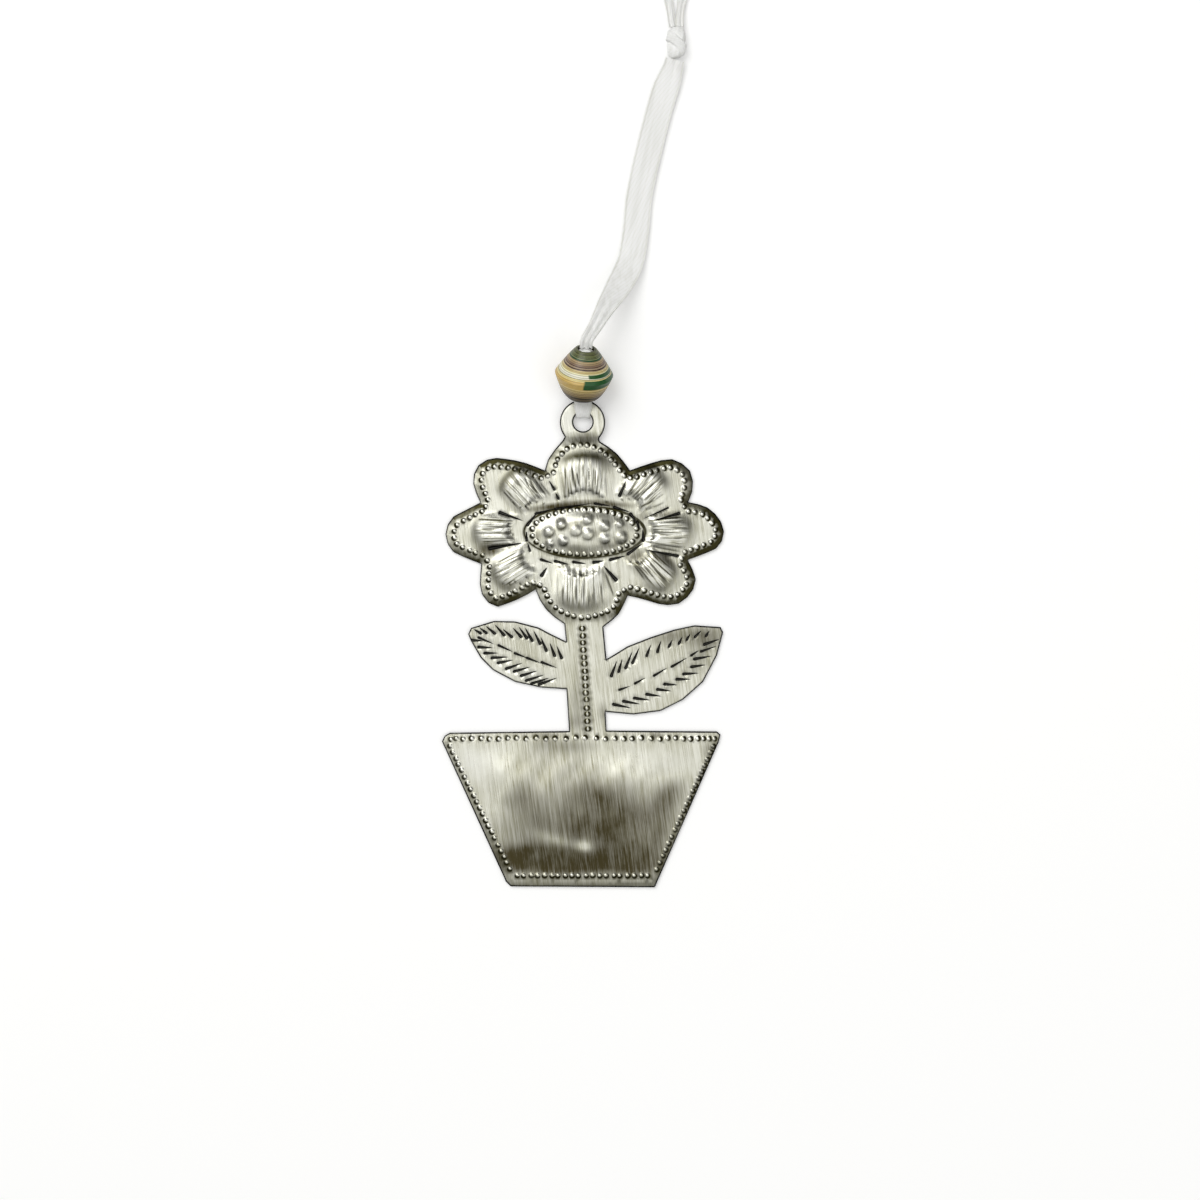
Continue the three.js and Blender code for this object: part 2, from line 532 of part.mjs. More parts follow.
// Stations of the bunched ribbon along a line of [y, z] points in the middle plane of the eye.
function bunchStations(line, halfThickness) {
  return line.map(([y, z], i) => {
    const [before, after] = [line[Math.max(0, i - 1)], line[Math.min(line.length - 1, i + 1)]];
    const tangent = new THREE.Vector3(0, after[0] - before[0], after[1] - before[1]).normalize();
    const centre = new THREE.Vector3(eyeHole.x, y, z);
    const across = new THREE.Vector3(1, 0, 0);
    const through = new THREE.Vector3(0, tangent.z, -tangent.y);
    return { centre, across, through, halfWidth: bunch.halfWidth, halfThickness };
  });
}

const [tilt, lean] = [beadTilt, -beadLean].map(THREE.MathUtils.degToRad);
const beadAxis = new THREE.Vector3(0, 1, 0).applyEuler(new THREE.Euler(tilt, 0, lean, "ZXY"));
const beadMouth = (sign, beyond = 0) =>
  beadCentre.clone().addScaledVector(beadAxis, sign * (beadLength / 2 + beyond));

// The fold of the ribbon: over the face of the eye, down through its hole and back out behind it.
function ribbonBight() {
  const front = sheetThickness + eyeLift + rimGap + bunch.halfThickness;
  const back = eyeLift - rimGap - bunch.halfThickness;
  const turnY = eyeHole.y + eyeHole.radius;
  const [middle, radius] = [(front + back) / 2, (front - back) / 2];
  const turn = Array.from({ length: 9 }, (_, i) => {
    const angle = Math.PI / 2 + (i * Math.PI) / 8;
    return [turnY + radius * Math.cos(angle), middle + radius * Math.sin(angle)];
  });
  const line = [[rimY - bightEnds.front, front], ...turn, [rimY + bightEnds.back, back]];
  return swept(bunchStations(line, bunch.halfThickness), roundSection);
}

// The ribbon inside the bead's bore, both halves together.
function ribbonCore() {
  const axis = new THREE.LineCurve3(beadMouth(-1, -coreRecess), beadMouth(1));
  return swept(ribbonStations(axis, 4, () => bunch.halfWidth, bunch.halfThickness), roundSection);
}

// The short stretch at the rim of the eye, where the back half rises to the front one and both enter
// the bead.
function ribbonNeck() {
  const { y, z } = beadMouth(-1);
  const rise = [[rimY + neckGap, eyeLift], [rimY + neckGap, eyeLift + sheetThickness], [y, z]];
  return swept(bunchStations(rise, ribbonThickness), roundSection);
}

function legCurve() {
  const out = mouthStations.map((beyond) => beadMouth(1, beyond));
  return new THREE.CatmullRomCurve3([...out, ...legRoute.map(vector3)]);
}

// One half of the ribbon from the bead to the knot. It opens to its full width on the table.
function ribbonLeg(side) {
  const halfWidthAt = (at) => {
    const open = smooth(at, 0, 0.3) * (1 - 0.5 * smooth(at, 0.9, 1));
    return THREE.MathUtils.lerp(bunch.halfWidth, ribbonWidth / 2, open);
  };
  const shift = (side * (plyGap + ribbonThickness)) / 2;
  return swept(ribbonStations(legCurve(), legSteps, halfWidthAt, ribbonThickness / 2, shift), flatSection);
}

// The overhand knot: a flattened lump with two turns of ribbon that lie aslant.
function ribbonKnot() {
  const knot = new THREE.LatheGeometry(knotTurns.map(vector2), knotSides);
  knot.scale(knotHalf.width, knotHalf.length, knotHalf.thickness);
  return knot.applyMatrix4(new THREE.Matrix4().makeShear(0, 0, knotSlant, 0, 0, 0));
}

// A loose end, narrow at the knot and cut on the slant.
function ribbonTail(name) {
  const curve = new THREE.CatmullRomCurve3(tailRoutes[name].map(vector3));
  const halfWidthAt = (at) => THREE.MathUtils.lerp(tailNarrow, ribbonWidth, smooth(at, 0.15, 1)) / 2;
  const stations = ribbonStations(curve, tailSteps, halfWidthAt, ribbonThickness / 2);
  return swept(stations, flatSection);
}

function named(name, geometry, material) {
  const mesh = new THREE.Mesh(geometry, material);
  mesh.name = name;
  return mesh;
}

const ornament = new THREE.Group();
const plate = named("embossed_plate", embossedPlate(), steel);
const bead = named("paper_bead", paperBead(), paper);
bead.position.copy(beadCentre);
bead.quaternion.setFromUnitVectors(new THREE.Vector3(0, 1, 0), beadAxis);
const knot = named("ribbon_knot", ribbonKnot(), satin);
knot.position.copy(knotCentre);
ornament.add(
  plate,
  bead,
  knot,
  named("ribbon_bight", ribbonBight(), satin),
  named("ribbon_neck", ribbonNeck(), satin),
  named("ribbon_core", ribbonCore(), satin),
  named("ribbon_leg_front", ribbonLeg(1), satin),
  named("ribbon_leg_back", ribbonLeg(-1), satin),
  ...Object.keys(tailRoutes).map((name) => named(name, ribbonTail(name), satin)),
);

// The origin is under the middle of the plate and bead together.
ornament.updateMatrixWorld(true);
const extent = new THREE.Box3().setFromObject(plate).union(new THREE.Box3().setFromObject(bead, true));
const middle = extent.getCenter(new THREE.Vector3());
ornament.position.set(-middle.x, -middle.y, 0);

export default ornament;
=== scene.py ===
import bpy
import math
import numpy as np
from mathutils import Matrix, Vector
from mathutils.geometry import delaunay_2d_cdt
from mathutils.kdtree import KDTree


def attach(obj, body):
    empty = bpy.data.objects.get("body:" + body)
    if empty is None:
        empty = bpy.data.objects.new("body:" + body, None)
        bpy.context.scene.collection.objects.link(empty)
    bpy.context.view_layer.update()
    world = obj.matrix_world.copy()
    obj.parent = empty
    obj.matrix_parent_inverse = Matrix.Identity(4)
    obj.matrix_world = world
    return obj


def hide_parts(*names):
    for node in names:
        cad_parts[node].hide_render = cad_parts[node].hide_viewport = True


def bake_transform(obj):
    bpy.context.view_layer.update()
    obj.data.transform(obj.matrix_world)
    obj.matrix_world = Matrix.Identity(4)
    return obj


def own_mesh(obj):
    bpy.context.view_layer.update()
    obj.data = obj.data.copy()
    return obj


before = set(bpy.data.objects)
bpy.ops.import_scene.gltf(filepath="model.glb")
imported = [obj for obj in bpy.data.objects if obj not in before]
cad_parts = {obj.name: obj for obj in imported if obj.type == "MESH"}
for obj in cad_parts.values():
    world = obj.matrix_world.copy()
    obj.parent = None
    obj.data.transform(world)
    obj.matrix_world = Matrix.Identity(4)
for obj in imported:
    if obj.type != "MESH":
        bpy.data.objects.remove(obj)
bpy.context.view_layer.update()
print("frame loaded:", sorted(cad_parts))

# All sizes below are in mm on the plate's own plan: x to the right, y up from the foot of the pot, z out of
# the face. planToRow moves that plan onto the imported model.
planToRow = np.array([0.02675, -62.0003, 0.0])


def toRow(points):
    return (np.asarray(points, float).reshape(-1, 3) + planToRow) / 1000


def smoothStep(value, low, high):
    t = np.clip((value - low) / (high - low), 0, 1)
    return t * t * (3 - 2 * t)


def wobble(seed):
    # a repeatable number from 0 to 1 for each seed
    return np.abs(np.sin(12.9898 * np.asarray(seed, float) + 4.137) * 43758.5453) % 1


# shader nodes

def setStops(ramp, stops, interpolation="LINEAR"):
    elements = ramp.color_ramp.elements
    ramp.color_ramp.interpolation = interpolation
    while len(elements) > 1:
        elements.remove(elements[-1])
    elements[0].position, elements[0].color = stops[0]
    for position, color in stops[1:]:
        elements.new(position).color = color


def newMaterial(name):
    material = bpy.data.materials.new(name)
    material.use_nodes = True
    return material, material.node_tree, material.node_tree.nodes["Principled BSDF"]


def feed(tree, socket, value):
    # a number or colour is set on the socket, and another node's output is linked to it
    if isinstance(value, (int, float, tuple)):
        socket.default_value = value
    else:
        tree.links.new(value, socket)


def readAttribute(tree, name):
    node = tree.nodes.new("ShaderNodeAttribute")
    node.attribute_name = name
    return node.outputs["Fac"]


def mathNode(tree, operation, a, b=0, clamp=False):
    node = tree.nodes.new("ShaderNodeMath")
    node.operation, node.use_clamp = operation, clamp
    feed(tree, node.inputs[0], a)
    feed(tree, node.inputs[1], b)
    return node.outputs[0]


def plus(tree, a, b):
    return mathNode(tree, "ADD", a, b)


def times(tree, a, b, clamp=False):
    return mathNode(tree, "MULTIPLY", a, b, clamp)


def ranged(tree, value, fromLow, fromHigh, toLow, toHigh):
    node = tree.nodes.new("ShaderNodeMapRange")
    for socket, number in zip(node.inputs, (value, fromLow, fromHigh, toLow, toHigh)):
        feed(tree, socket, number)
    return node.outputs[0]


def ramped(tree, value, stops, interpolation="LINEAR"):
    node = tree.nodes.new("ShaderNodeValToRGB")
    setStops(node, stops, interpolation)
    tree.links.new(value, node.inputs[0])
    return node.outputs["Color"]


def mixed(tree, factor, a, b, blend="MIX"):
    node = tree.nodes.new("ShaderNodeMix")
    node.data_type, node.blend_type = "RGBA", blend
    for key, value in (("Factor", factor), ("A", a), ("B", b)):
        feed(tree, node.inputs[key], value)
    return node.outputs["Result"]


def noise(tree, scale, detail=3.0, stretch=(1, 1, 1), turn=0.0, roughness=0.5):
    # noise in the object's own space, scale in features per metre, drawn out by stretch and then turned
    coord = tree.nodes.new("ShaderNodeTexCoord")
    mapping = tree.nodes.new("ShaderNodeMapping")
    mapping.vector_type = "TEXTURE"
    mapping.inputs["Scale"].default_value = stretch
    mapping.inputs["Rotation"].default_value = (0, 0, turn)
    tree.links.new(coord.outputs["Object"], mapping.inputs["Vector"])
    node = tree.nodes.new("ShaderNodeTexNoise")
    for key, value in (("Scale", scale), ("Detail", detail), ("Roughness", roughness)):
        node.inputs[key].default_value = value
    tree.links.new(mapping.outputs[0], node.inputs["Vector"])
    return node.outputs["Fac"]


def addBump(tree, shader, height, distance, strength=0.5):
    bump = tree.nodes.new("ShaderNodeBump")
    bump.inputs["Strength"].default_value = strength
    bump.inputs["Distance"].default_value = distance
    tree.links.new(height, bump.inputs["Height"])
    tree.links.new(bump.outputs[0], shader.inputs["Normal"])


def cameraRays(tree):
    return tree.nodes.new("ShaderNodeLightPath").outputs["Is Camera Ray"]


# camera, light and floor

studio = {
    "lookAt": (3.94, 4.01),  # mm, the middle of the picture on the row's floor
    "distance": 450.0,
    "frameWidth": 276.0,
    "keyLight": {"place": (-0.35, 0.45, 0.75), "size": (0.7, 0.7), "power": 3.8},
    "fillLight": {"place": (0.55, -0.25, 0.65), "size": (0.6, 0.6), "power": 1.1},
    "brightest": (-0.14, -0.08, 1),
    "sky": [(0, 0.16), (0.3, 0.13), (0.55, 0.22), (0.75, 0.55), (0.88, 0.8), (1, 0.85)],
    "skyBlue": 0.985,
    "floorHalf": 1.5,
    "floorHeight": -0.0002,
    "floorColor": (0.93, 0.93, 0.925, 1),
    "floorLift": 0.22,
}


def addCamera():
    data = bpy.data.cameras.new("camera")
    data.sensor_width = 36
    data.lens = data.sensor_width * studio["distance"] / studio["frameWidth"]
    data.clip_start, data.clip_end = 0.01, 10
    camera = bpy.data.objects.new("camera", data)
    camera.location = (studio["lookAt"][0] / 1000, studio["lookAt"][1] / 1000, studio["distance"] / 1000)
    bpy.context.scene.collection.objects.link(camera)
    bpy.context.scene.camera = camera


def addSoftbox(name):
    look = studio[name]
    data = bpy.data.lights.new(name, "AREA")
    data.shape, data.size, data.size_y = "RECTANGLE", *look["size"]
    data.energy = look["power"]
    light = bpy.data.objects.new(name, data)
    light.location = look["place"]
    light.rotation_euler = (-Vector(look["place"])).to_track_quat("-Z", "Y").to_euler()
    bpy.context.scene.collection.objects.link(light)


def addWorld():
    # a bright ceiling that falls away to a dim horizon, which is what gives pressed metal its dark flanks
    world = bpy.data.worlds.new("studio")
    bpy.context.scene.world = world
    world.use_nodes = True
    tree = world.node_tree
    coord = tree.nodes.new("ShaderNodeTexCoord")
    facing = tree.nodes.new("ShaderNodeVectorMath")
    facing.operation = "DOT_PRODUCT"
    facing.inputs[1].default_value = Vector(studio["brightest"]).normalized()
    tree.links.new(coord.outputs["Generated"], facing.inputs[0])
    stops = [(at, (level, level, level * studio["skyBlue"], 1)) for at, level in studio["sky"]]
    sky = ramped(tree, facing.outputs["Value"], stops)
    # the camera sees plain white behind the part
    color = mixed(tree, cameraRays(tree), sky, (1, 1, 1, 1))
    tree.links.new(color, tree.nodes["Background"].inputs["Color"])


def addFloor():
    half, low = studio["floorHalf"], studio["floorHeight"]
    mesh = bpy.data.meshes.new("floor")
    corners = [(-half, -half, low), (half, -half, low), (half, half, low), (-half, half, low)]
    mesh.from_pydata(corners, [], [(0, 1, 2, 3)])
    floor = bpy.data.objects.new("floor", mesh)
    bpy.context.scene.collection.objects.link(floor)
    material, tree, shader = newMaterial("paleFloor")
    shader.inputs["Base Color"].default_value = studio["floorColor"]
    shader.inputs["Roughness"].default_value = 0.9
    shader.inputs["Specular IOR Level"].default_value = 0.1
    shader.inputs["Emission Color"].default_value = (1, 1, 1, 1)
    tree.links.new(times(tree, cameraRays(tree), studio["floorLift"]), shader.inputs["Emission Strength"])
    mesh.materials.append(material)


addCamera()
addWorld()
addSoftbox("keyLight")
addSoftbox("fillLight")
addFloor()
print("studio ready")


# curves

def spanCurve(p1, p2, v0, v1, perSpan):
    # the smooth way from p1 to p2 that leaves at speed v0 and arrives at speed v1
    t = np.linspace(0, 1, perSpan, endpoint=False)[:, None]
    twist, bend = 2 * p1 - 2 * p2 + v0 + v1, -3 * p1 + 3 * p2 - 2 * v0 - v1
    return twist * t ** 3 + bend * t ** 2 + v0 * t + p1


def splineAt(points, closed=False, perSpan=24):
    # a smooth run through its points, sampled closely
    points = np.asarray(points, float)
    count = len(points)
    near = (lambda i: i % count) if closed else (lambda i: min(max(i, 0), count - 1))
    out = []
    for i in range(count if closed else count - 1):
        p0, p1, p2, p3 = (points[near(i + k)] for k in (-1, 0, 1, 2))
        out.append(spanCurve(p1, p2, (p2 - p0) / 2, (p3 - p1) / 2, perSpan))
    out.append(points[:1] if closed else points[-1:])
    return np.concatenate(out)


def cordLine(points, perSpan=40):
    # the ribbon's own kind of curve, whose spans follow the spacing of their points
    points = [np.asarray(p, float) for p in points]
    points = [2 * points[0] - points[1]] + points + [2 * points[-1] - points[-2]]
    out = []
    for p0, p1, p2, p3 in zip(points, points[1:], points[2:], points[3:]):
        d0, d1, d2 = (max(np.linalg.norm(b - a) ** 0.5, 1e-4) for a, b in ((p0, p1), (p1, p2), (p2, p3)))
        v0 = ((p1 - p0) / d0 - (p2 - p0) / (d0 + d1) + (p2 - p1) / d1) * d1
        v1 = ((p2 - p1) / d1 - (p3 - p1) / (d1 + d2) + (p3 - p2) / d2) * d1
        out.append(spanCurve(p1, p2, v0, v1, perSpan))
    out.append(points[-2][None])
    return np.concatenate(out)


def alongLine(line, shares):
    # points of a sampled line at shares of its length
    steps = np.linalg.norm(np.diff(line, axis=0), axis=1)
    reached = np.concatenate([[0], np.cumsum(steps)])
    at = np.asarray(shares) * reached[-1]
    return np.stack([np.interp(at, reached, column) for column in line.T], 1)


def lineLength(line):
    return np.linalg.norm(np.diff(line, axis=0), axis=1).sum()


def evenly(line, step):
    # points about a step apart, without the last
    count = max(1, round(lineLength(line) / step))
    return alongLine(line, np.arange(count) / count)


def circle(centre, radius, count, start=0.0):
    turn = start + np.arange(count) * 2 * math.pi / count
    return np.stack([centre[0] + radius * np.cos(turn), centre[1] + radius * np.sin(turn)], 1)


def sideOf(line):
    # the unit direction to the left of a flat line at each of its points
    along = np.gradient(line, axis=0)
    along /= np.linalg.norm(along, axis=1)[:, None]
    return np.stack([-along[:, 1], along[:, 0]], 1)


def spokes(turn, right, up):
    # directions round an axis
    return np.cos(turn)[..., None] * right + np.sin(turn)[..., None] * up


def frameOf(axis):
    axis = np.array(axis) / np.linalg.norm(axis)
    right = np.cross(axis, (0, 0, 1))
    right /= np.linalg.norm(right)
    return axis, right, np.cross(right, axis)


# meshes

def addPiece(name, points, faces, material, attributes=None, sharpAngle=50):
    mesh = bpy.data.meshes.new(name)
    mesh.from_pydata(toRow(points).tolist(), [], faces)
    for key, values in (attributes or {}).items():
        layer = mesh.attributes.new(key, "FLOAT", "POINT")
        layer.data.foreach_set("value", np.asarray(values, np.float32))
    mesh.shade_smooth()
    mesh.set_sharp_from_angle(angle=math.radians(sharpAngle))
    mesh.materials.append(material)
    piece = bpy.data.objects.new(name, mesh)
    bpy.context.scene.collection.objects.link(piece)
    return piece


def ringPairs(count):
    # each number round a ring with the next one
    return [(j, (j + 1) % count) for j in range(count)]


# the plate: one sheet of steel, cut and embossed by hand

plate = {
    "sheet": 0.6,
    "dotRadius": 0.6,
    "dotHeight": 0.27,
    "dotPitch": 1.6,
    "dotInset": 2.0,
    "stemDotHeight": 0.16,
    "pillowHeight": 0.95,
    "pillowSquareness": 2.3,  # 2 for an ellipse
    "fluteWave": 0.05,
    "grooveDepth": 0.06,
    "punchDepth": 0.1,
    "seedHeight": 0.55,
    "ovalCrown": 1.1,
    "potCrown": 1.3,
    "rimRise": 0.22,
    "eyeLift": 1.2,
    "eyeBend": (101.4, 104.2),
    "strokeDepth": 0.2,
    "edgeWear": 0.1,
    "hammer": 0.045,  # how uneven the raised parts are
    "snip": 2.4,  # length of one cut of the snips along a curved edge
}
paintedShadeIn = {  # how strongly shade is painted into each part of the relief
    "ovalLine": 1.3,
    "ovalLineVaries": 0.4,
    "ovalLineWidth": 0.27,
    "punches": 0.8,
    "seeds": 0.7,
    "dots": 1.6,
}
eye = {"centre": (-0.1, 106.7), "radius": 5.2, "hole": (0, 106.85), "holeRadius": 2.2}
oval = {"centre": (0.35, 81.6), "half": (12.05, 5.15), "dots": 34}
oval["line"] = 1.15  # the painted shadow line round it, as a share of its half sizes
potTopDots = [  # x of each, in the row under the pot's brim
    -30.3, -29.1, -27.5, -25.5, -23.3, -21.4, -19.3, -17.2, -15.2, -13, -10.7, -8.5, -6.4, -3.9, -1.7, 0.4,
    3, 5.1, 7.3, 9.3, 11.2, 13.3, 15.6, 17.6, 19.4, 21.2, 23, 24.6, 26.3, 27.6, 28.9, 30.1,
]
potRims = [  # ends and count of each other row of the pot
    ((30.3, 33.2), (16.7, 3.6), 20), ((15.6, 2.8), (-15.8, 2.8), 20), ((-16.4, 3.6), (-30.9, 33.2), 21),
]
stemRow = (-0.2, 60.3), (1.2, 35.6), 15
seeds = [  # from the oval's middle: x, y and radius
    (-5.4, 1.9, 1.3), (-2.0, 0.5, 1.5), (0.6, 3.0, 1.3), (0.7, -0.3, 1.5), (4.6, 1.4, 1.3), (4.6, -1.4, 1.3),
    (8.4, -1.2, 1.5), (-8.3, 0.2, 1.4), (-4.9, -2.0, 1.2), (-8.0, -2.6, 1.0), (8.0, 2.0, 1.0),
]
potEdge = [
    [(-16.6, 0.2), (16.5, 0)], [(16.5, 0), (31.2, 33.4)], [(31.2, 33.4), (31.6, 35.1)],
    [(31.6, 35.1), (30.8, 35.8)], [(30.8, 35.8), (5.4, 36)],
]
rightLeafEdge = [
    [(5.4, 36), (5.2, 40.3)],
    [(5.2, 40.3), (11.6, 39.7), (17.8, 40.5), (23, 43.1), (27.6, 47.2), (30.8, 53.3), (32.2, 58.6)],
    [(32.2, 58.6), (31.6, 59.8)],
    [(31.6, 59.8), (25.6, 60.2), (20.9, 59.2), (15.4, 57.4), (10.3, 55.4), (5.4, 52.4)],
    [(5.4, 52.4), (4.7, 59.8)],
]
leftLeafEdge = [
    [(-4.3, 60.5), (-3.9, 56.5)],
    [(-3.9, 56.5), (-7.6, 58.3), (-10.2, 59.7), (-15.6, 61.1), (-20.5, 61.2), (-25.7, 59.6)],
    [(-25.7, 59.6), (-26.4, 58.2), (-25.8, 56.7)],
    [(-25.8, 56.7), (-23.5, 52.7), (-20.7, 49.9), (-15.6, 47.2), (-9.7, 45.9), (-3.8, 45.5)],
    [(-3.8, 45.5), (-3.2, 35.9)],
]
potCornerEdge = [
    [(-3.2, 35.9), (-30.6, 35.5)], [(-30.6, 35.5), (-31.8, 34.8)], [(-31.8, 34.8), (-32.4, 33.5)],
    [(-32.4, 33.5), (-17.7, 1.3)], [(-17.7, 1.3), (-16.6, 0.2)],
]
petals = {
    "southEast": [
        (10.3, 67), (13.8, 66.2), (18.4, 64.9), (22.3, 65.3), (25.2, 68.2), (25.9, 71.1), (24.1, 75.2),
    ],
    "east": [
        (24.1, 75.2), (27.3, 76.4), (31.1, 78.2), (32.4, 81.6), (31.3, 84.7), (28.4, 87.4), (24.2, 88.5),
    ],
    "northEast": [
        (24.2, 88.5), (25.2, 91.4), (24.9, 95.2), (22.3, 97.7), (19.6, 98.4), (15.4, 97.4), (10.8, 95.8),
    ],
    "northWest": [
        (-8.8, 95.8), (-13.2, 97.5), (-17.5, 98.4), (-21.4, 98.5), (-24.5, 96.4), (-25.2, 92.6),
        (-23.6, 88.4),
    ],
    "west": [
        (-23.6, 88.4), (-26.9, 86.7), (-30.2, 84.8), (-31.6, 81.3), (-30.4, 77.6), (-27.4, 75.9),
        (-23.4, 74.3),
    ],
    "southWest": [
        (-23.4, 74.3), (-23.6, 71.2), (-23.4, 67.6), (-20.4, 64.5), (-16.8, 65.4), (-13.6, 66.8),
        (-10.9, 68.4),
    ],
}
southRight = [(4.7, 59.8), (6.4, 61.1), (8.3, 62.9), (10.3, 67)]
southLeft = [(-10.9, 68.4), (-9.6, 65.4), (-7.5, 62.8), (-4.3, 60.5)]
northRight = [(10.8, 95.8), (9.2, 98), (7, 100.4), (3.9, 102.4)]
northLeft = [(-4.7, 102.6), (-7.6, 99.2), (-8.2, 97.4), (-8.8, 95.8)]
leafStrokes = {  # for each half width: head x and y, thin end x and y
    0.38: [
        (-23.2, 58.2, -25.1, 59.3), (-21.9, 58.2, -23.7, 59.6), (-20, 58.1, -22.3, 60),
        (-17.9, 57.7, -20.2, 60.3), (-16.1, 57.3, -18.4, 59.3), (-14, 57.3, -16.1, 59.6),
        (-12.7, 57, -14.7, 59.8), (-11.5, 56.4, -13.3, 59.6), (-9.7, 55.7, -11.3, 58.9),
        (-8.3, 54.1, -9.7, 57.5), (-6.4, 52.9, -7.6, 56.1), (-4.8, 52.4, -6, 55.4),
        (-25.8, 56.8, -23, 56.6), (-24.3, 55.2, -20.7, 55), (-22.9, 53.8, -19.6, 53.8),
        (-21.2, 52.7, -17.2, 52.9), (-19.8, 51.5, -16.1, 52.2), (-17.9, 50.1, -14, 51.5),
        (-16.1, 49.5, -12.2, 50.6), (-14.5, 48.5, -10.6, 49.7), (-13.3, 47.4, -9, 48.8),
        (-12, 46.7, -7.8, 48.1), (-10.3, 46.5, -6, 48.1), (6.4, 48.3, 7.8, 52), (8.1, 49.2, 9, 52.4),
        (9.7, 50.1, 11.3, 54.1), (11.3, 51.3, 12.9, 55), (14.5, 52.9, 15.6, 55.7), (17, 53.8, 17.9, 56.6),
        (19.6, 55, 20.5, 56.8), (21.9, 55.7, 22.8, 57.5), (23.7, 56.6, 24.6, 58.2),
        (25.5, 57.3, 27.1, 58.9), (28.1, 57.5, 29, 58.9), (6.7, 42.1, 11, 41.2), (9, 42.8, 13.1, 42.1),
        (11.5, 43.5, 15.4, 43), (14.3, 44.4, 17.9, 43.9), (16.8, 45.5, 20.2, 45.1),
        (18.4, 46.7, 21.6, 46.5), (21.2, 47.8, 24.6, 47.8), (22.8, 49, 26.5, 49.2),
        (24.6, 50.6, 28.1, 51.1), (25.3, 52.4, 29.4, 53.1), (27.6, 55.7, 31.3, 57),
    ],
    0.3: [
        (-24.2, 57.5, -20.5, 55.9), (-19.6, 55.7, -16.1, 54.1), (-15.9, 53.9, -12.9, 52.7),
        (-13.1, 52.8, -9.7, 51.5), (-9.7, 51.8, -6, 50.4), (8.1, 45.3, 10.8, 46.2),
        (11.7, 46.7, 14.3, 48.1), (16.1, 48.5, 19.3, 50.4), (20.2, 50.6, 23.9, 52.7),
        (24.6, 53.1, 26.7, 54.5), (26.9, 54.1, 30.6, 55.4),
    ],
}
petalStrokes = [
    (-6.4, 91.1, -7.8, 93.4, 0.34), (-5.5, 89, -6.3, 90.6, 0.36), (-19.3, 86.2, -13.8, 84.2, 0.42),
    (-12.9, 83, -10.6, 86, 0.42), (-12.9, 79.4, -13, 81.9, 0.32), (-12.1, 77, -12.7, 79.1, 0.32),
    (-21.6, 77.8, -13.8, 79.1, 0.5), (-9.9, 75.4, -6.9, 74.4, 0.34), (-6.7, 75, -3.2, 74.2, 0.34),
    (-2.5, 74.8, 0.7, 74.3, 0.36), (2.1, 74.6, 4.8, 75, 0.42), (-9.7, 71.3, -8.3, 73.4, 0.55),
    (13.9, 79.4, 13.7, 82.3, 0.42), (10.1, 76.4, 13.6, 78.9, 0.42), (6, 75.2, 9.7, 76.1, 0.42),
    (7.8, 70.4, 4.8, 73.8, 0.5), (8.3, 89.7, 9.9, 93.4, 0.45), (10.8, 86, 12.2, 84, 0.45),
    (6.9, 87.4, 10.8, 86.2, 0.34), (2.5, 88.2, 6.2, 87.6, 0.3), (-11, 85.8, -6.4, 86.9, 0.3),
    (-6.4, 86.9, 2.1, 88.2, 0.26), (12.4, 84.2, 13.1, 82.1, 0.4), (19.6, 87.2, 13.8, 84.6, 0.22),
    (22.3, 86, 16.3, 84.2, 0.34), (21.9, 76.1, 14.3, 77.5, 0.34),
]
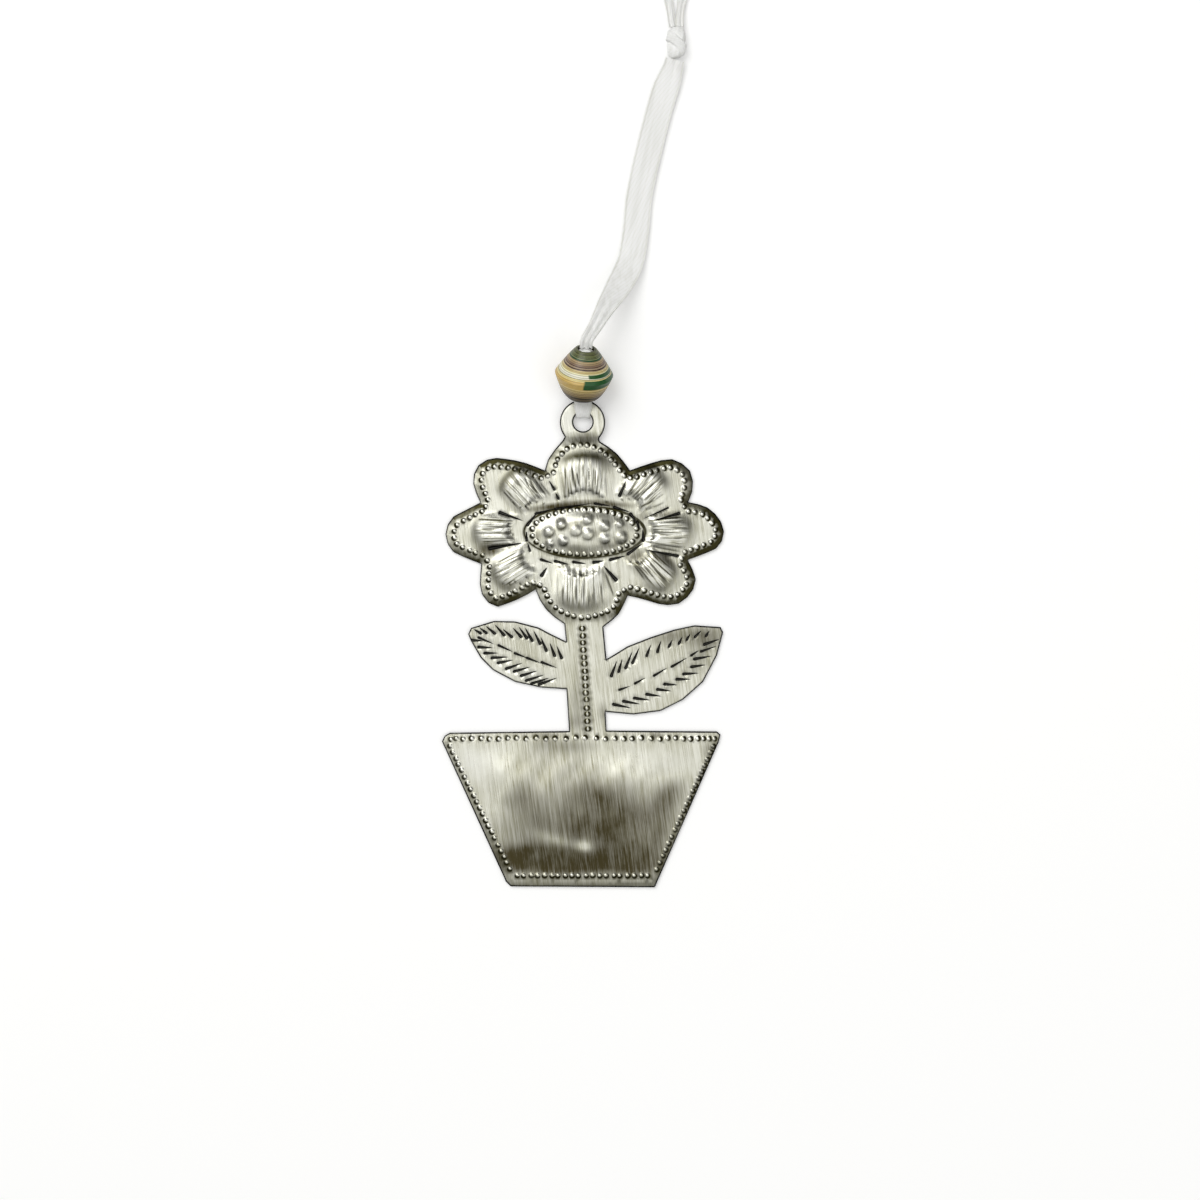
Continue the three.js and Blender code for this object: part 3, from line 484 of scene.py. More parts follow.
grooves = [  # both ends, half width and strength
    (-4.1, 96.1, -3.9, 90.2, 0.5, 0.7), (-3.2, 96.8, -3, 90.9, 0.35, 0.5),
    (-2.5, 96.4, -1.6, 90.9, 0.4, 0.9), (-1.4, 95.2, -0.8, 91.8, 0.35, 0.9), (0, 95, 0, 91.8, 0.25, 0.35),
    (1.3, 96.4, 1.5, 91.3, 0.3, 0.8), (2.9, 95.9, 2.8, 91.3, 0.32, 0.85), (4.1, 95.9, 4.4, 90.4, 0.3, 0.4),
    (5.3, 94.1, 5.5, 89, 0.3, 0.4), (-18.4, 91.1, -15, 87.2, 0.4, 0.9),
    (-17.8, 91.1, -13.8, 87.2, 0.3, 0.6), (-16.6, 92, -12.9, 88.1, 0.25, 0.35),
    (-15.2, 93.2, -12, 89, 0.25, 0.35), (-13.3, 94.1, -12.2, 91.5, 0.35, 0.8),
    (-12.2, 93.6, -10.1, 89.7, 0.4, 0.8), (-11.3, 94.1, -8.1, 89.5, 0.4, 0.8),
    (-9.7, 92.9, -7.6, 90.2, 0.3, 0.6), (10.6, 90.4, 13.3, 95.2, 0.8, 0.8), (12, 90, 15.4, 93.6, 0.4, 0.8),
    (13.1, 89.8, 16.8, 93.4, 0.4, 0.9), (14, 88.8, 17.7, 92, 0.35, 0.7), (14.3, 87.9, 18.6, 91.3, 0.3, 0.5),
    (13.1, 87.3, 16.6, 89, 0.4, 0.8), (16.6, 89, 18.6, 90.4, 0.3, 0.5), (14.3, 86.5, 18.9, 88.5, 0.4, 0.6),
    (-24.4, 84.5, -16.8, 84.2, 0.5, 0.95), (-24.2, 83.3, -17.2, 83.4, 0.3, 0.6),
    (-23.7, 82.2, -16.8, 82.7, 0.3, 0.7), (-21.9, 81.1, -16.6, 81.7, 0.25, 0.5),
    (-23.5, 79.2, -16.3, 79.8, 0.4, 0.7), (-24.2, 85.3, -19.1, 86, 0.6, 0.5),
    (16.3, 84.4, 23.2, 85.1, 0.42, 0.95), (16.6, 83.6, 23.7, 84.2, 0.4, 0.9),
    (16.3, 82.1, 22.5, 82.1, 0.3, 0.6), (15.9, 81.4, 20.5, 80.7, 0.3, 0.7),
    (20.5, 81.7, 24.8, 81.9, 0.25, 0.4), (17.7, 80.2, 23.7, 80, 0.3, 0.6),
    (14.3, 79.4, 24.2, 77.7, 0.4, 0.7), (15.4, 78.4, 22.8, 77, 0.4, 0.7),
    (-19.8, 74.4, -14.7, 77.2, 0.4, 0.9), (-20.2, 73.5, -14.3, 76.4, 0.35, 0.6),
    (-19.3, 72.2, -15.4, 74.5, 0.25, 0.35), (-20, 70.8, -16.6, 72.6, 0.35, 0.6),
    (-18.4, 70.2, -16.1, 72, 0.25, 0.4), (-4.6, 64.4, -4.6, 69.7, 0.45, 0.7),
    (-3.5, 64.4, -3.5, 70.6, 0.35, 0.5), (-1.4, 64.6, -1.6, 69.9, 0.45, 0.7),
    (0.2, 64.2, 0.1, 70.2, 0.35, 0.7), (1.4, 64.6, 1.4, 68.3, 0.3, 0.4), (2.8, 64.6, 2.5, 69.9, 0.4, 0.6),
    (4.5, 64.6, 4.1, 70.6, 0.4, 0.7), (7.1, 66.9, 4.8, 73.1, 0.4, 0.8), (-5.9, 66, -6, 71.8, 0.3, 0.4),
    (11.3, 74.8, 14.3, 70.4, 0.5, 0.8), (12.4, 74.1, 15.4, 69.9, 0.4, 0.7),
    (13.8, 73.9, 16.8, 70.6, 0.35, 0.8), (15, 74.8, 19.6, 69.7, 0.4, 0.85),
    (15.9, 75.4, 20.5, 71.3, 0.35, 0.8), (16.6, 76, 20.9, 72.9, 0.3, 0.5),
]
punches = [  # where the flutes start
    (-4.1, 89.7), (-2.5, 90.4), (-1.4, 90.9), (0, 91.2), (1.6, 91.1), (3.2, 90.4), (4.4, 89.6), (5.4, 88.5),
    (-14.3, 87.2), (-13.1, 87.5), (-12, 88.3), (-10.6, 88.5), (-9, 88.1), (9, 89), (10.6, 89.2), (12, 89.2),
    (13.3, 89.2), (-17.1, 83.4), (-16.6, 81.9), (-16.1, 81), (-18.4, 69.7), (-16.8, 69.6), (-15.6, 70.2),
    (-14.3, 69.6), (-12.9, 71.1), (-5.3, 73.5), (-4.1, 72.7), (-3, 71.9), (-1.8, 71.5), (-0.2, 71.8),
    (0.7, 71.6), (2.1, 72), (3.2, 72.6), (11, 74.8), (12.4, 74.4), (13.6, 74.8), (15.9, 81.5), (16.1, 80.3),
]
pillows = [  # middle, half width, half length, heading in degrees, flutes, painted shade on the outer slope
    (0.2, 94.5, 6, 4.9, 90, 7, 0.75), (14.5, 91.8, 4.3, 4.6, 47, 5, 0.45),
    (19.8, 81.7, 4.2, 4.8, 0, 5, 0.45), (16.6, 72.9, 3.8, 4.8, -46, 5, 0.55),
    (-0.2, 68.8, 5.9, 4.8, -90, 7, 0.5), (-16.3, 73.1, 4, 4.4, 209, 5, 0.5),
    (-20.5, 81.9, 3.8, 4.6, 180, 5, 0.5), (-14, 91.3, 4.3, 4.7, 131, 5, 0.72),
]
tarnishShadeAndSheen = [  # middle, half sizes, turn in degrees, strength: tarnish and painted shade, and below 0 a painted bright reflection
    (12.4, 75.9, 2.3, 1.3, 0, 1.4), (19.1, 75, 2.5, 1.2, -35, 1.2), (19.6, 85.8, 2.8, 0.8, 12, 1),
    (13.4, 85.3, 1.6, 1, 0, 0.8), (0.2, 102.9, 2.6, 1.4, 0, 1), (2.8, 103.4, 1.8, 1.3, 0, 0.4),
    (-5.5, 87.6, 6.5, 0.6, 7, 3), (6, 88, 5, 0.55, -4, 2.4), (0, 76.4, 9.2, 0.8, 0, 0.8),
    (-21.8, 77.4, 2.4, 1.1, 6, 2.2), (12.6, 80, 0.7, 3, 0, 0.7), (9.3, 80.6, 1.8, 1.4, 0, 0.9),
    (-5, 82.5, 1, 0.7, 0, 1), (4.6, 85.3, 1.4, 0.5, 0, 1), (-1.8, 78.1, 2.4, 0.7, 0, 1),
    (5.7, 78.4, 2.8, 0.8, 4, 1), (-10.4, 80.9, 0.6, 2, 0, 0.9), (0.3, 82, 30, 22, 0, -0.3),
    (-2.6, 83, 1.4, 1.2, 0, 0.8), (2.6, 81.2, 1.5, 0.9, 0, 0.8), (6.5, 83.8, 1.6, 1, 0, 0.5),
    (-6.5, 81, 1.4, 1, 0, 0.4), (0, 12, 22, 11, 0, 0.5), (6.5, 15, 8.5, 6.5, 0, 1.6),
    (1.5, 21.5, 4, 2.5, 0, 1), (-9, 14, 10, 7, 0, 0.5), (-8, 6.8, 10, 2.1, -3, 4),
    (-7, 4.6, 11, 1.4, 0, 1.5), (12.3, 6.6, 4.6, 2.8, 0, 4), (5, 5, 12, 1.4, 0, 1),
    (19.5, 21, 4, 2.6, 45, 1), (17.5, 13, 3, 6, -22, 0.6), (-13.5, 20.5, 3.5, 3.5, 0, 0.6),
    (0.3, 9.6, 1.8, 1.5, 0, -1.6), (-6, 11, 5.5, 1.3, -18, -0.8), (-24.5, 29.5, 7, 5, 0, -0.8),
    (-20.5, 21, 4, 6, 20, -0.4), (15, 29, 11, 3.6, 0, -0.6), (-1, 27, 12, 4, 0, 0.3),
    (-3, 32.5, 5, 1.5, 0, 0.5), (-4.3, 92, 1.6, 3.2, 0, 0.5), (-15, 29, 5, 3, 0, 0.2),
    (-3.5, 107, 1.7, 4, 0, -0.7), (3.6, 105.5, 1.5, 3, 0, -0.35), (-14, 49, 9, 2, -8, -0.6),
    (17, 44, 9, 2, 20, -0.3), (-8.7, 32, 4.1, 2.8, 0, 0.25), (21, 57.9, 5.5, 1.6, 8, 0.9),
    (28.3, 57.4, 4, 2.4, 10, 1), (27, 52, 4, 3, 0, 0.25), (-0.7, 48, 1.3, 13, 0, 0.25),
    (-1.8, 42.6, 1.4, 4.6, 0, 0.35), (-1.8, 38, 2.3, 1.6, 0, 0.5), (4.6, 40.2, 0.9, 1.8, 0, 0.7),
    (-3.2, 61.4, 1.8, 1.2, 0, 0.5), (4.6, 61.9, 1.6, 1.2, 0, 0.5), (-20.7, 77.7, 3.2, 1.2, 8, 0.5),
    (16.8, 34.7, 1.4, 0.9, 0, 0.9), (-8.5, 34.5, 1.6, 1.4, 0, 0.5), (-16.8, 69, 2.8, 1.2, 0, 0.55),
    (-19.8, 66, 3.2, 1.4, 0, 0.5), (14.3, 69.2, 3.2, 1.4, 0, 0.4), (-24.2, 33.4, 4.6, 1.4, 0, 0.2),
    (29, 31.5, 1.8, 1.8, 0, 0.5), (-17.9, 20.1, 1.6, 1.8, 0, 0.3),
]
dents = [  # middle, depth and size
    (16.8, 34.7, 0.2, 0.9), (9.5, 18.5, 0.12, 3.2), (-4, 12, 0.14, 4.0), (-14.5, 21, 0.1, 3.5),
    (12, 8, 0.12, 3.0), (1, 27, 0.08, 4.0), (21, 24, 0.08, 3.0), (-10, 5.5, 0.1, 2.5),
    (0.5, 8.5, -0.12, 2.2),
]
chiselStrokes = [(*stroke, halfWidth) for halfWidth, group in leafStrokes.items() for stroke in group]
chiselStrokes += petalStrokes


def snipped(run):
    # a curved edge as short straight cuts
    line = splineAt(run)
    return alongLine(line, np.linspace(0, 1, max(2, round(lineLength(line) / plate["snip"]) + 1)))


def cutRuns():
    # every run of the snips round the plate, anticlockwise from the foot of the pot
    cx, cy = eye["centre"]
    first, last = (math.atan2(y - cy, x - cx) for x, y in (northRight[-1], northLeft[0]))
    turn = np.linspace(first, last + 2 * math.pi, 90)
    ring = np.stack([cx + eye["radius"] * np.cos(turn), cy + eye["radius"] * np.sin(turn)], 1)
    ring[0], ring[-1] = northRight[-1], northLeft[0]
    rightPetals = [southRight, petals["southEast"], petals["east"], petals["northEast"], northRight]
    leftPetals = [northLeft, petals["northWest"], petals["west"], petals["southWest"], southLeft]
    straight = lambda runs: [np.asarray(run, float) for run in runs]
    right = straight(potEdge + rightLeafEdge) + [snipped(run) for run in rightPetals]
    return right + [ring] + [snipped(run) for run in leftPetals] + straight(leftLeafEdge + potCornerEdge)


def petalDotRow():
    # the row that follows the flower's cut edge inside it, and dips in at the notches
    north = northRight[:3] + [(4, 102.6), (0, 103.6), (-4.4, 102.6)] + northLeft[1:]
    south = southLeft[:3] + [(-4, 60.9), (0, 60), (4.6, 61)] + southRight[2:]
    order = ["southEast", "east", "northEast", None, "northWest", "west", "southWest"]
    edges = [south] + [petals[name] if name else north for name in order]
    lines = [alongLine(splineAt(edge), np.linspace(0, 1, 41)) for edge in edges]
    samples = np.concatenate(lines)
    inset = np.concatenate([line + plate["dotInset"] * sideOf(line) for line in lines])
    reach = np.linalg.norm(inset[:, None] - samples[None], axis=2).min(1)
    row = splineAt(inset[reach > 0.97 * plate["dotInset"]], closed=True, perSpan=6)
    count = round(lineLength(row) / plate["dotPitch"])
    return alongLine(row, (np.arange(count) + 0.5 + 0.16 * (wobble(np.arange(count)) - 0.5)) / count)


def straightDots(start, end, count):
    at = (np.arange(count) + 0.5 + 0.2 * (wobble(np.arange(count) + start[0]) - 0.5)) / count
    dots = np.asarray(start) * (1 - at[:, None]) + np.asarray(end) * at[:, None]
    return dots + 0.12 * (wobble(np.arange(count) + start[1])[:, None] - 0.5)


def ovalRing(scale, count):
    turn = np.linspace(0, 2 * math.pi, 400)
    (cx, cy), (a, b) = oval["centre"], oval["half"]
    ring = np.stack([cx + scale * a * np.cos(turn), cy + scale * b * np.sin(turn)], 1)
    return alongLine(ring, (np.arange(count) + 0.5) / count)


def sizedDots(dots, height):
    heights = height * (0.85 + 0.3 * wobble(dots[:, 0] * 3))
    return np.column_stack([dots, heights, plate["dotRadius"] * (0.94 + 0.14 * wobble(dots[:, 1] * 5))])


def allDots():
    # x, y, height and radius of every dot
    brim = np.column_stack([potTopDots, 34.2 + 0.3 * (wobble(np.array(potTopDots)) - 0.5)])
    pot = [straightDots(*row) for row in potRims]
    domes = np.concatenate([petalDotRow(), brim, *pot, ovalRing(1, oval["dots"])])
    stem = straightDots(*stemRow)
    return np.concatenate([sizedDots(domes, plate["dotHeight"]), sizedDots(stem, plate["stemDotHeight"])])


# The relief is worked out on a fine square net, and every point of the plate then takes its height from it.
reliefStep = 0.1
reliefX = np.arange(-33.2, 33.3, reliefStep)
reliefY = np.arange(-0.8, 112.8, reliefStep)
netX, netY = np.meshgrid(reliefX, reliefY)


def window(x, y, reach):
    # the part of the net within reach of a point, and its offsets from it
    i0, i1 = np.searchsorted(reliefY, (y - reach, y + reach))
    j0, j1 = np.searchsorted(reliefX, (x - reach, x + reach))
    cells = slice(i0, i1), slice(j0, j1)
    return cells, netX[cells] - x, netY[cells] - y


def blurred(field, radius):
    size = max(1, round(radius / reliefStep))
    for axis in (0, 1, 0, 1):
        padded = np.pad(field, [(size + 1, size) if k == axis else (0, 0) for k in (0, 1)], mode="edge")
        total = np.cumsum(padded, axis=axis)
        upper = [slice(2 * size + 1, None) if k == axis else slice(None) for k in (0, 1)]
        lower = [slice(0, -2 * size - 1) if k == axis else slice(None) for k in (0, 1)]
        field = (total[tuple(upper)] - total[tuple(lower)]) / (2 * size + 1)
    return field


def insidePot(x, y):
    # how deep inside the pot's four sides, with the ridges where two sides meet rounded off
    corners = [(-17.4, 0), (17, 0), (16.5, 0), (32, 35.8), (31, 35.9), (-31, 35.9), (-32.9, 35.9), (-17.2, 0)]
    rounding = 2.2
    total = 0
    for (ax, ay), (bx, by) in zip(corners[::2], corners[1::2]):
        depth = ((bx - ax) * (y - ay) - (by - ay) * (x - ax)) / math.hypot(bx - ax, by - ay)
        total = total + np.exp(-depth / rounding)
    return -np.log(total) * rounding


def tapered(stroke, reach=1.2):
    # the net round a stroke: share of its length from the head, and distance aside
    hx, hy, tx, ty = stroke[:4]
    length = math.hypot(tx - hx, ty - hy)
    cells, dx, dy = window((hx + tx) / 2, (hy + ty) / 2, length / 2 + reach)
    dx, dy = dx + (tx - hx) / 2, dy + (ty - hy) / 2
    share = (dx * (tx - hx) + dy * (ty - hy)) / length ** 2
    return cells, share, np.abs(dy * (tx - hx) - dx * (ty - hy)) / length


def turned(dx, dy, degrees):
    # offsets along a heading and to the left of it
    c, s = math.cos(math.radians(degrees)), math.sin(math.radians(degrees))
    return dx * c + dy * s, -dx * s + dy * c


def atLeast(net, cells, value):
    # the new value wherever it is above what is there
    net[cells] = np.maximum(net[cells], value)


def pillowRelief(nets):
    # the soft mound under each petal's flutes, steep only at its inner end, and the flutes' wave across it
    height, fan, squareness = nets["height"], nets["fan"], plate["pillowSquareness"]
    for k, (x, y, halfWidth, halfLength, heading, flutes, outerShade) in enumerate(pillows):
        cells, dx, dy = window(x, y, 9.5)
        forward, left = turned(dx, dy, heading)
        out = forward / halfLength
        aside = left / (halfWidth * (0.92 + 0.08 * np.clip(out, -1, 1)))
        reach = (np.clip(out, 0, None) ** squareness + np.abs(aside) ** squareness) ** (1 / squareness)
        wave = -np.cos(math.pi * flutes * (aside + 1) + 0.2 * np.sin(2.2 * out + x))
        inner = -out - 0.45 * aside ** 2 + 0.05 * wave
        mound = (1 - smoothStep(reach, 0.48, 1.34)) * (1 - smoothStep(inner, 0.42, 0.95))
        atLeast(height, cells, plate["pillowHeight"] * mound)
        varied = 0.7 + 0.6 * wobble(np.floor(flutes * (aside + 1) / 2) + x)
        fluted = mound * (1 - smoothStep(reach, 0.75, 1.1)) * varied
        height[cells] += plate["fluteWave"] * wave * fluted
        # painted shade along the mound's outer slope
        crest = np.exp(-((reach - 0.97) / (0.18 + 0.2 * outerShade)) ** 2) * smoothStep(out, 0.05, 0.9)
        atLeast(nets["grime"], cells, outerShade * crest)
        own = (1 - smoothStep(reach, 0.7, 1.05)) * (1 - smoothStep(inner, 0.72, 0.84))
        nearer = own > fan[cells]
        for name, value in (("fanAcross", aside * halfWidth + 20 * k), ("fanAlong", out * halfLength)):
            nets[name][cells] = np.where(nearer, value, nets[name][cells])
        atLeast(fan, cells, own)


def crownRelief(nets):
    # the crowned pot and oval, the bend below the eye, and what the hammer left a little uneven
    height, (cx, cy), (a, b) = nets["height"], oval["centre"], oval["half"]
    reach = np.hypot((netX - cx) / a, (netY - cy) / b)
    # a painted shadow line round the oval, outside its dots, stronger in some places than others
    ring = paintedShadeIn["ovalLine"] + paintedShadeIn["ovalLineVaries"] * np.sin(3 * np.arctan2(netY - cy, netX - cx) + 1)
    slope = np.hypot((netX - cx) / a ** 2, (netY - cy) / b ** 2) / np.maximum(reach, 0.1)
    outside = (reach - oval["line"]) / np.maximum(slope, 0.01)
    atLeast(nets["grime"], slice(None), ring * np.exp(-(outside / paintedShadeIn["ovalLineWidth"]) ** 2))
    height += plate["potCrown"] * smoothStep(insidePot(netX, netY), 2.6, 15)
    height += plate["ovalCrown"] * (1 - smoothStep(reach, 0.45, 1.12))
    height += plate["eyeLift"] * smoothStep(netY, *plate["eyeBend"])
    uneven = np.sin(netX * 0.41 + 1.3 * np.sin(netY * 0.23)) * np.sin(netY * 0.37 + 0.8)
    uneven += 0.6 * np.sin(netX * 0.9 - netY * 0.7)
    height += plate["hammer"] * uneven * smoothStep(height, 0.05, 0.6)
    for x, y, deep, size in dents:
        cells, dx, dy = window(x, y, 3 * size)
        height[cells] -= deep * np.exp(-(dx ** 2 + dy ** 2) / size ** 2)


def grooveRelief(nets):
    for hx, hy, tx, ty, halfWidth, strength in grooves:
        cells, share, aside = tapered((hx, hy, tx, ty))
        run = smoothStep(share, -0.06, 0.14) * (1 - smoothStep(share, 0.72, 1.06))
        valley = np.exp(-(aside / (0.62 * halfWidth)) ** 2) * run
        ridge = np.exp(-((aside - 1.5 * halfWidth) / (0.8 * halfWidth)) ** 2) * run
        nets["height"][cells] += plate["grooveDepth"] * strength * (0.35 * ridge - valley)
        # painted shade along each groove's valley
        atLeast(nets["grime"], cells, strength * np.exp(-(aside / (0.5 * halfWidth)) ** 2) * run)


def punchRelief(nets):
    for x, y in punches:
        cells, dx, dy = window(x, y, 1.6)
        nearest = min(pillows, key=lambda pillow: math.hypot(pillow[0] - x, pillow[1] - y))
        forward, left = turned(dx, dy, nearest[4])
        pit = np.exp(-(forward / 0.22) ** 2 - (left / 0.4) ** 2)
        nets["height"][cells] -= plate["punchDepth"] * pit
        # painted shade in each pit
        atLeast(nets["grime"], cells, paintedShadeIn["punches"] * pit)


def seedRelief(nets):
    cx, cy = oval["centre"]
    for x, y, radius in seeds:
        cells, dx, dy = window(cx + x, cy + y, 2.5)
        r = np.hypot(dx, dy)
        nets["height"][cells] += plate["seedHeight"] * np.clip(1 - (r / radius) ** 2, 0, 1) ** 1.3
        # a painted shadow round each seed, heavier on its lower side, and a painted highlight on its top
        shadow = np.exp(-((r - radius) / 0.35) ** 2) * (0.35 + 0.65 * smoothStep(-dy + 0.4 * dx, -0.2, 1.4))
        atLeast(nets["grime"], cells, paintedShadeIn["seeds"] * shadow)
        atLeast(nets["shine"], cells, 0.8 * np.exp(-(r / (0.6 * radius)) ** 2))


def dotRelief(nets, dots):
    # painted shade on each dot's side away from the middle and towards the lower right, and a painted
    # highlight on its other side
    stemTop, stemFoot = stemRow[0][1], stemRow[1][1]
    for x, y, rise, radius in dots:
        cells, dx, dy = window(x, y, 1.4)
        r = np.hypot(dx, dy)
        dome = rise * np.clip(1 - (r / radius) ** 3, 0, 1)
        nets["height"][cells] += dome - 0.05 * np.exp(-((r - radius - 0.12) / 0.16) ** 2)
        middle = (0.3, 82) if y > 60.5 else (0, 18)  # of the flower or the pot
        away = np.array([x - middle[0], y - middle[1]]) / math.hypot(x - middle[0], y - middle[1])
        away += (0.35, -0.6)
        away /= np.linalg.norm(away)
        shadedSide = 0.3 + 0.9 * (away[0] * dx + away[1] * dy) / np.maximum(r, 0.1)
        if stemFoot < y < stemTop:
            # the stem's dots get painted shade on both sides
            shadedSide = 0.2 + 0.9 * np.abs(dx) / np.maximum(r, 0.1)
        shadedSide = np.clip(shadedSide, 0, 1)
        crescent = np.exp(-((r - 0.92 * radius) / (0.12 + 0.13 * shadedSide)) ** 2)
        atLeast(nets["grime"], cells, paintedShadeIn["dots"] * shadedSide * crescent)
        lit = np.hypot(dx + 0.3 * radius * away[0], dy + 0.3 * radius * away[1])
        atLeast(nets["shine"], cells, np.exp(-(lit / (0.5 * radius)) ** 2))


def chiselRelief(nets):
    # wedges, deep and wide at the head and thin at the tail, painted black inside as shade and oxide in the
    # cut
    for stroke in chiselStrokes:
        cells, share, aside = tapered(stroke)
        width = 1.2 * stroke[4] * (1 - 0.8 * np.clip(share, 0, 1))
        start = smoothStep(share, -0.05, 0.02)
        deep = plate["strokeDepth"] * start * (1 - smoothStep(share, 0.5, 0.98))
        atLeast(nets["cut"], cells, deep * np.clip(2 - 2 * aside / width, 0, 1))
        inside = np.clip(1.1 - aside / width, 0, 1)
        atLeast(nets["ink"], cells, start * (1 - smoothStep(share, 0.8, 1.08)) * inside)


def pressRelief(dots):
    # heights of the back of the sheet, how deep the chisel cut its face, and where shade is painted into the
    # relief
    names = ("height", "cut", "ink", "grime", "shine", "fan", "fanAcross", "fanAlong")
    nets = {name: np.zeros_like(netX) for name in names}
    for press in (pillowRelief, crownRelief, grooveRelief, punchRelief, seedRelief):
        press(nets)
    dotRelief(nets, dots)
    chiselRelief(nets)
    nets["height"] = np.maximum(nets["height"], 0)
    return nets


def tarnishShadeAndSheenField():
    # tarnish, painted shade and painted bright reflections in patches over the whole sheet
    field = np.zeros_like(netX)
    for x, y, rx, ry, turn, strength in tarnishShadeAndSheen:
        cells, dx, dy = window(x, y, 2.2 * max(rx, ry))
        forward, left = turned(dx, dy, turn)
        field[cells] += strength * np.exp(-(forward / rx) ** 2 - (left / ry) ** 2)
    field = blurred(field, 0.3)
    # dark patches that lie over each other don't get darker than 1
    return np.where(field > 0, 1 - np.exp(-1.25 * field), field)


def sampled(field, points):
    # the field at any points, by straight interpolation
    fx = np.clip((points[:, 0] - reliefX[0]) / reliefStep, 0, len(reliefX) - 1.001)
    fy = np.clip((points[:, 1] - reliefY[0]) / reliefStep, 0, len(reliefY) - 1.001)
    j, i = fx.astype(int), fy.astype(int)
    u, v = fx - j, fy - i
    low = field[i, j] * (1 - u) + field[i, j + 1] * u
    high = field[i + 1, j] * (1 - u) + field[i + 1, j + 1] * u
    return low * (1 - v) + high * v


def treeOf(points):
    tree = KDTree(len(points))
    for i, (x, y) in enumerate(points):
        tree.insert((x, y, 0), i)
    tree.balance()
    return tree


def reachFrom(tree, points):
    found = [tree.find((x, y, 0)) for x, y in points]
    return np.array([f[2] for f in found]), np.array([f[1] for f in found])


def strokePoints(stroke, offsets, step, flare):
    # rows of points along a stroke, at these shares of its half width to both sides
    head, tail, halfWidth = np.array(stroke[:2]), np.array(stroke[2:4]), stroke[4]
    run = tail - head
    side = np.array([-run[1], run[0]]) / np.linalg.norm(run)
    shares = np.linspace(-0.04, 1.02, max(5, round(np.linalg.norm(run) / step)))
    spans = [(share, k * halfWidth * (1 - flare * max(share, 0))) for share in shares for k in offsets]
    return np.array([head + share * run + aside * side for share, aside in spans])


def hexNet(pitch, box):
    x, y = np.meshgrid(np.arange(box[0], box[2], pitch), np.arange(box[1], box[3], pitch * 0.87))
    x = x + (np.arange(len(x)) % 2)[:, None] * pitch / 2
    return np.stack([x.ravel(), y.ravel()], 1)


plateMesh = {  # mm between points
    "outline": 0.5,
    "mounds": 0.46,
    "oval": 0.5,
    "plain": 0.8,
    "holePoints": 44,
}


def platePoints(outline, hole, dots):
    # points are taken in this order, and one too near an earlier one is left out
    edgePoints = []
    for loop in (outline, hole):
        count = 4 * len(loop)
        edgePoints.append(alongLine(np.concatenate([loop, loop[:1]]), np.arange(count) / count))
    edgePoints = np.concatenate(edgePoints)
    edgeTree = treeOf(edgePoints)
    along = np.roll(outline, -1, 0) - np.roll(outline, 1, 0)
    along /= np.linalg.norm(along, axis=1)[:, None]
    inward = np.stack([-along[:, 1], along[:, 0]], 1)
    inner = [outline + 0.2 * inward, outline + 0.43 * inward]
    inner += [circle(eye["hole"], eye["holeRadius"] + gap, plateMesh["holePoints"]) for gap in (0.2, 0.43)]
    cx, cy = oval["centre"]
    dotRings = ((0, 1), (0.3, 6), (0.58, 9), (0.84, 12), (1.06, 14), (1.36, 14))
    domes = [circle(dot[:2], r * dot[3], n, 0.4 * n) for dot in dots for r, n in dotRings]
    pits = [circle(punch, r, n) for punch in punches for r, n in ((0, 1), (0.3, 7), (0.62, 10))]
    seedRings = ((0, 1), (0.3, 7), (0.6, 12), (0.95, 16))
    lumps = [circle((cx + x, cy + y), r * s, n) for x, y, r in seeds for s, n in seedRings]
    wedges = [strokePoints(cut, (-1.15, -0.6, 0, 0.6, 1.15), 0.36, 0.7) for cut in chiselStrokes]
    ring = [ovalRing(oval["line"] + k, 190) for k in (-0.05, 0, 0.05)]
    flutes = [strokePoints(groove, (-1.5, -0.8, -0.35, 0, 0.35, 0.8, 1.5), 0.5, 0) for groove in grooves]
    mounds = []
    for x, y, halfWidth, halfLength, *_ in pillows:
        net = hexNet(plateMesh["mounds"], (x - 8, y - 8, x + 8, y + 8))
        mounds.append(net[np.hypot(*(net - (x, y)).T) < 1.25 * max(halfWidth, halfLength)])
    mounds.append(hexNet(plateMesh["oval"], (cx - 13, cy - 7, cx + 13, cy + 7)))
    plain = [hexNet(plateMesh["plain"], (-33, -0.5, 33, 112.5))]
    layers = [  # points, how far apart they stay, and how far from the cut edge
        (inner, 0.15, 0.16), (domes, 0.14, 0.2), (pits, 0.15, 0.2), (lumps, 0.2, 0.2), (wedges, 0.12, 0.2),
        (ring, 0.14, 0.2), (flutes, 0.14, 0.3), (mounds, 0.28, 0.45), (plain, 0.42, 0.45),
    ]
    kept = [outline, hole]
    for points, apart, fromEdge in layers:
        points = np.concatenate(points)
        points = points[reachFrom(edgeTree, points)[0] > fromEdge]
        tree = treeOf(np.concatenate(kept))
        kept.append(points[reachFrom(tree, points)[0] > apart])
    return np.concatenate(kept), edgeTree, edgePoints


def plateFaces(points, outline, hole):
    loops = [(0, len(outline)), (len(outline), len(hole))]
    edges = [(base + i, base + (i + 1) % count) for base, count in loops for i in range(count)]
    made = delaunay_2d_cdt([Vector(p) for p in points.tolist()], edges, [], 1, 1e-6)
    plan = np.array([tuple(p) for p in made[0]])
    faces = np.array(made[2], int)
    middle = plan[faces].mean(1)
    faces = faces[np.hypot(*(middle - eye["hole"]).T) > eye["holeRadius"] * 0.99]
    used = np.unique(faces)
    renumber = np.full(len(plan), -1)
    renumber[used] = np.arange(len(used))
    return plan[used], renumber[faces]


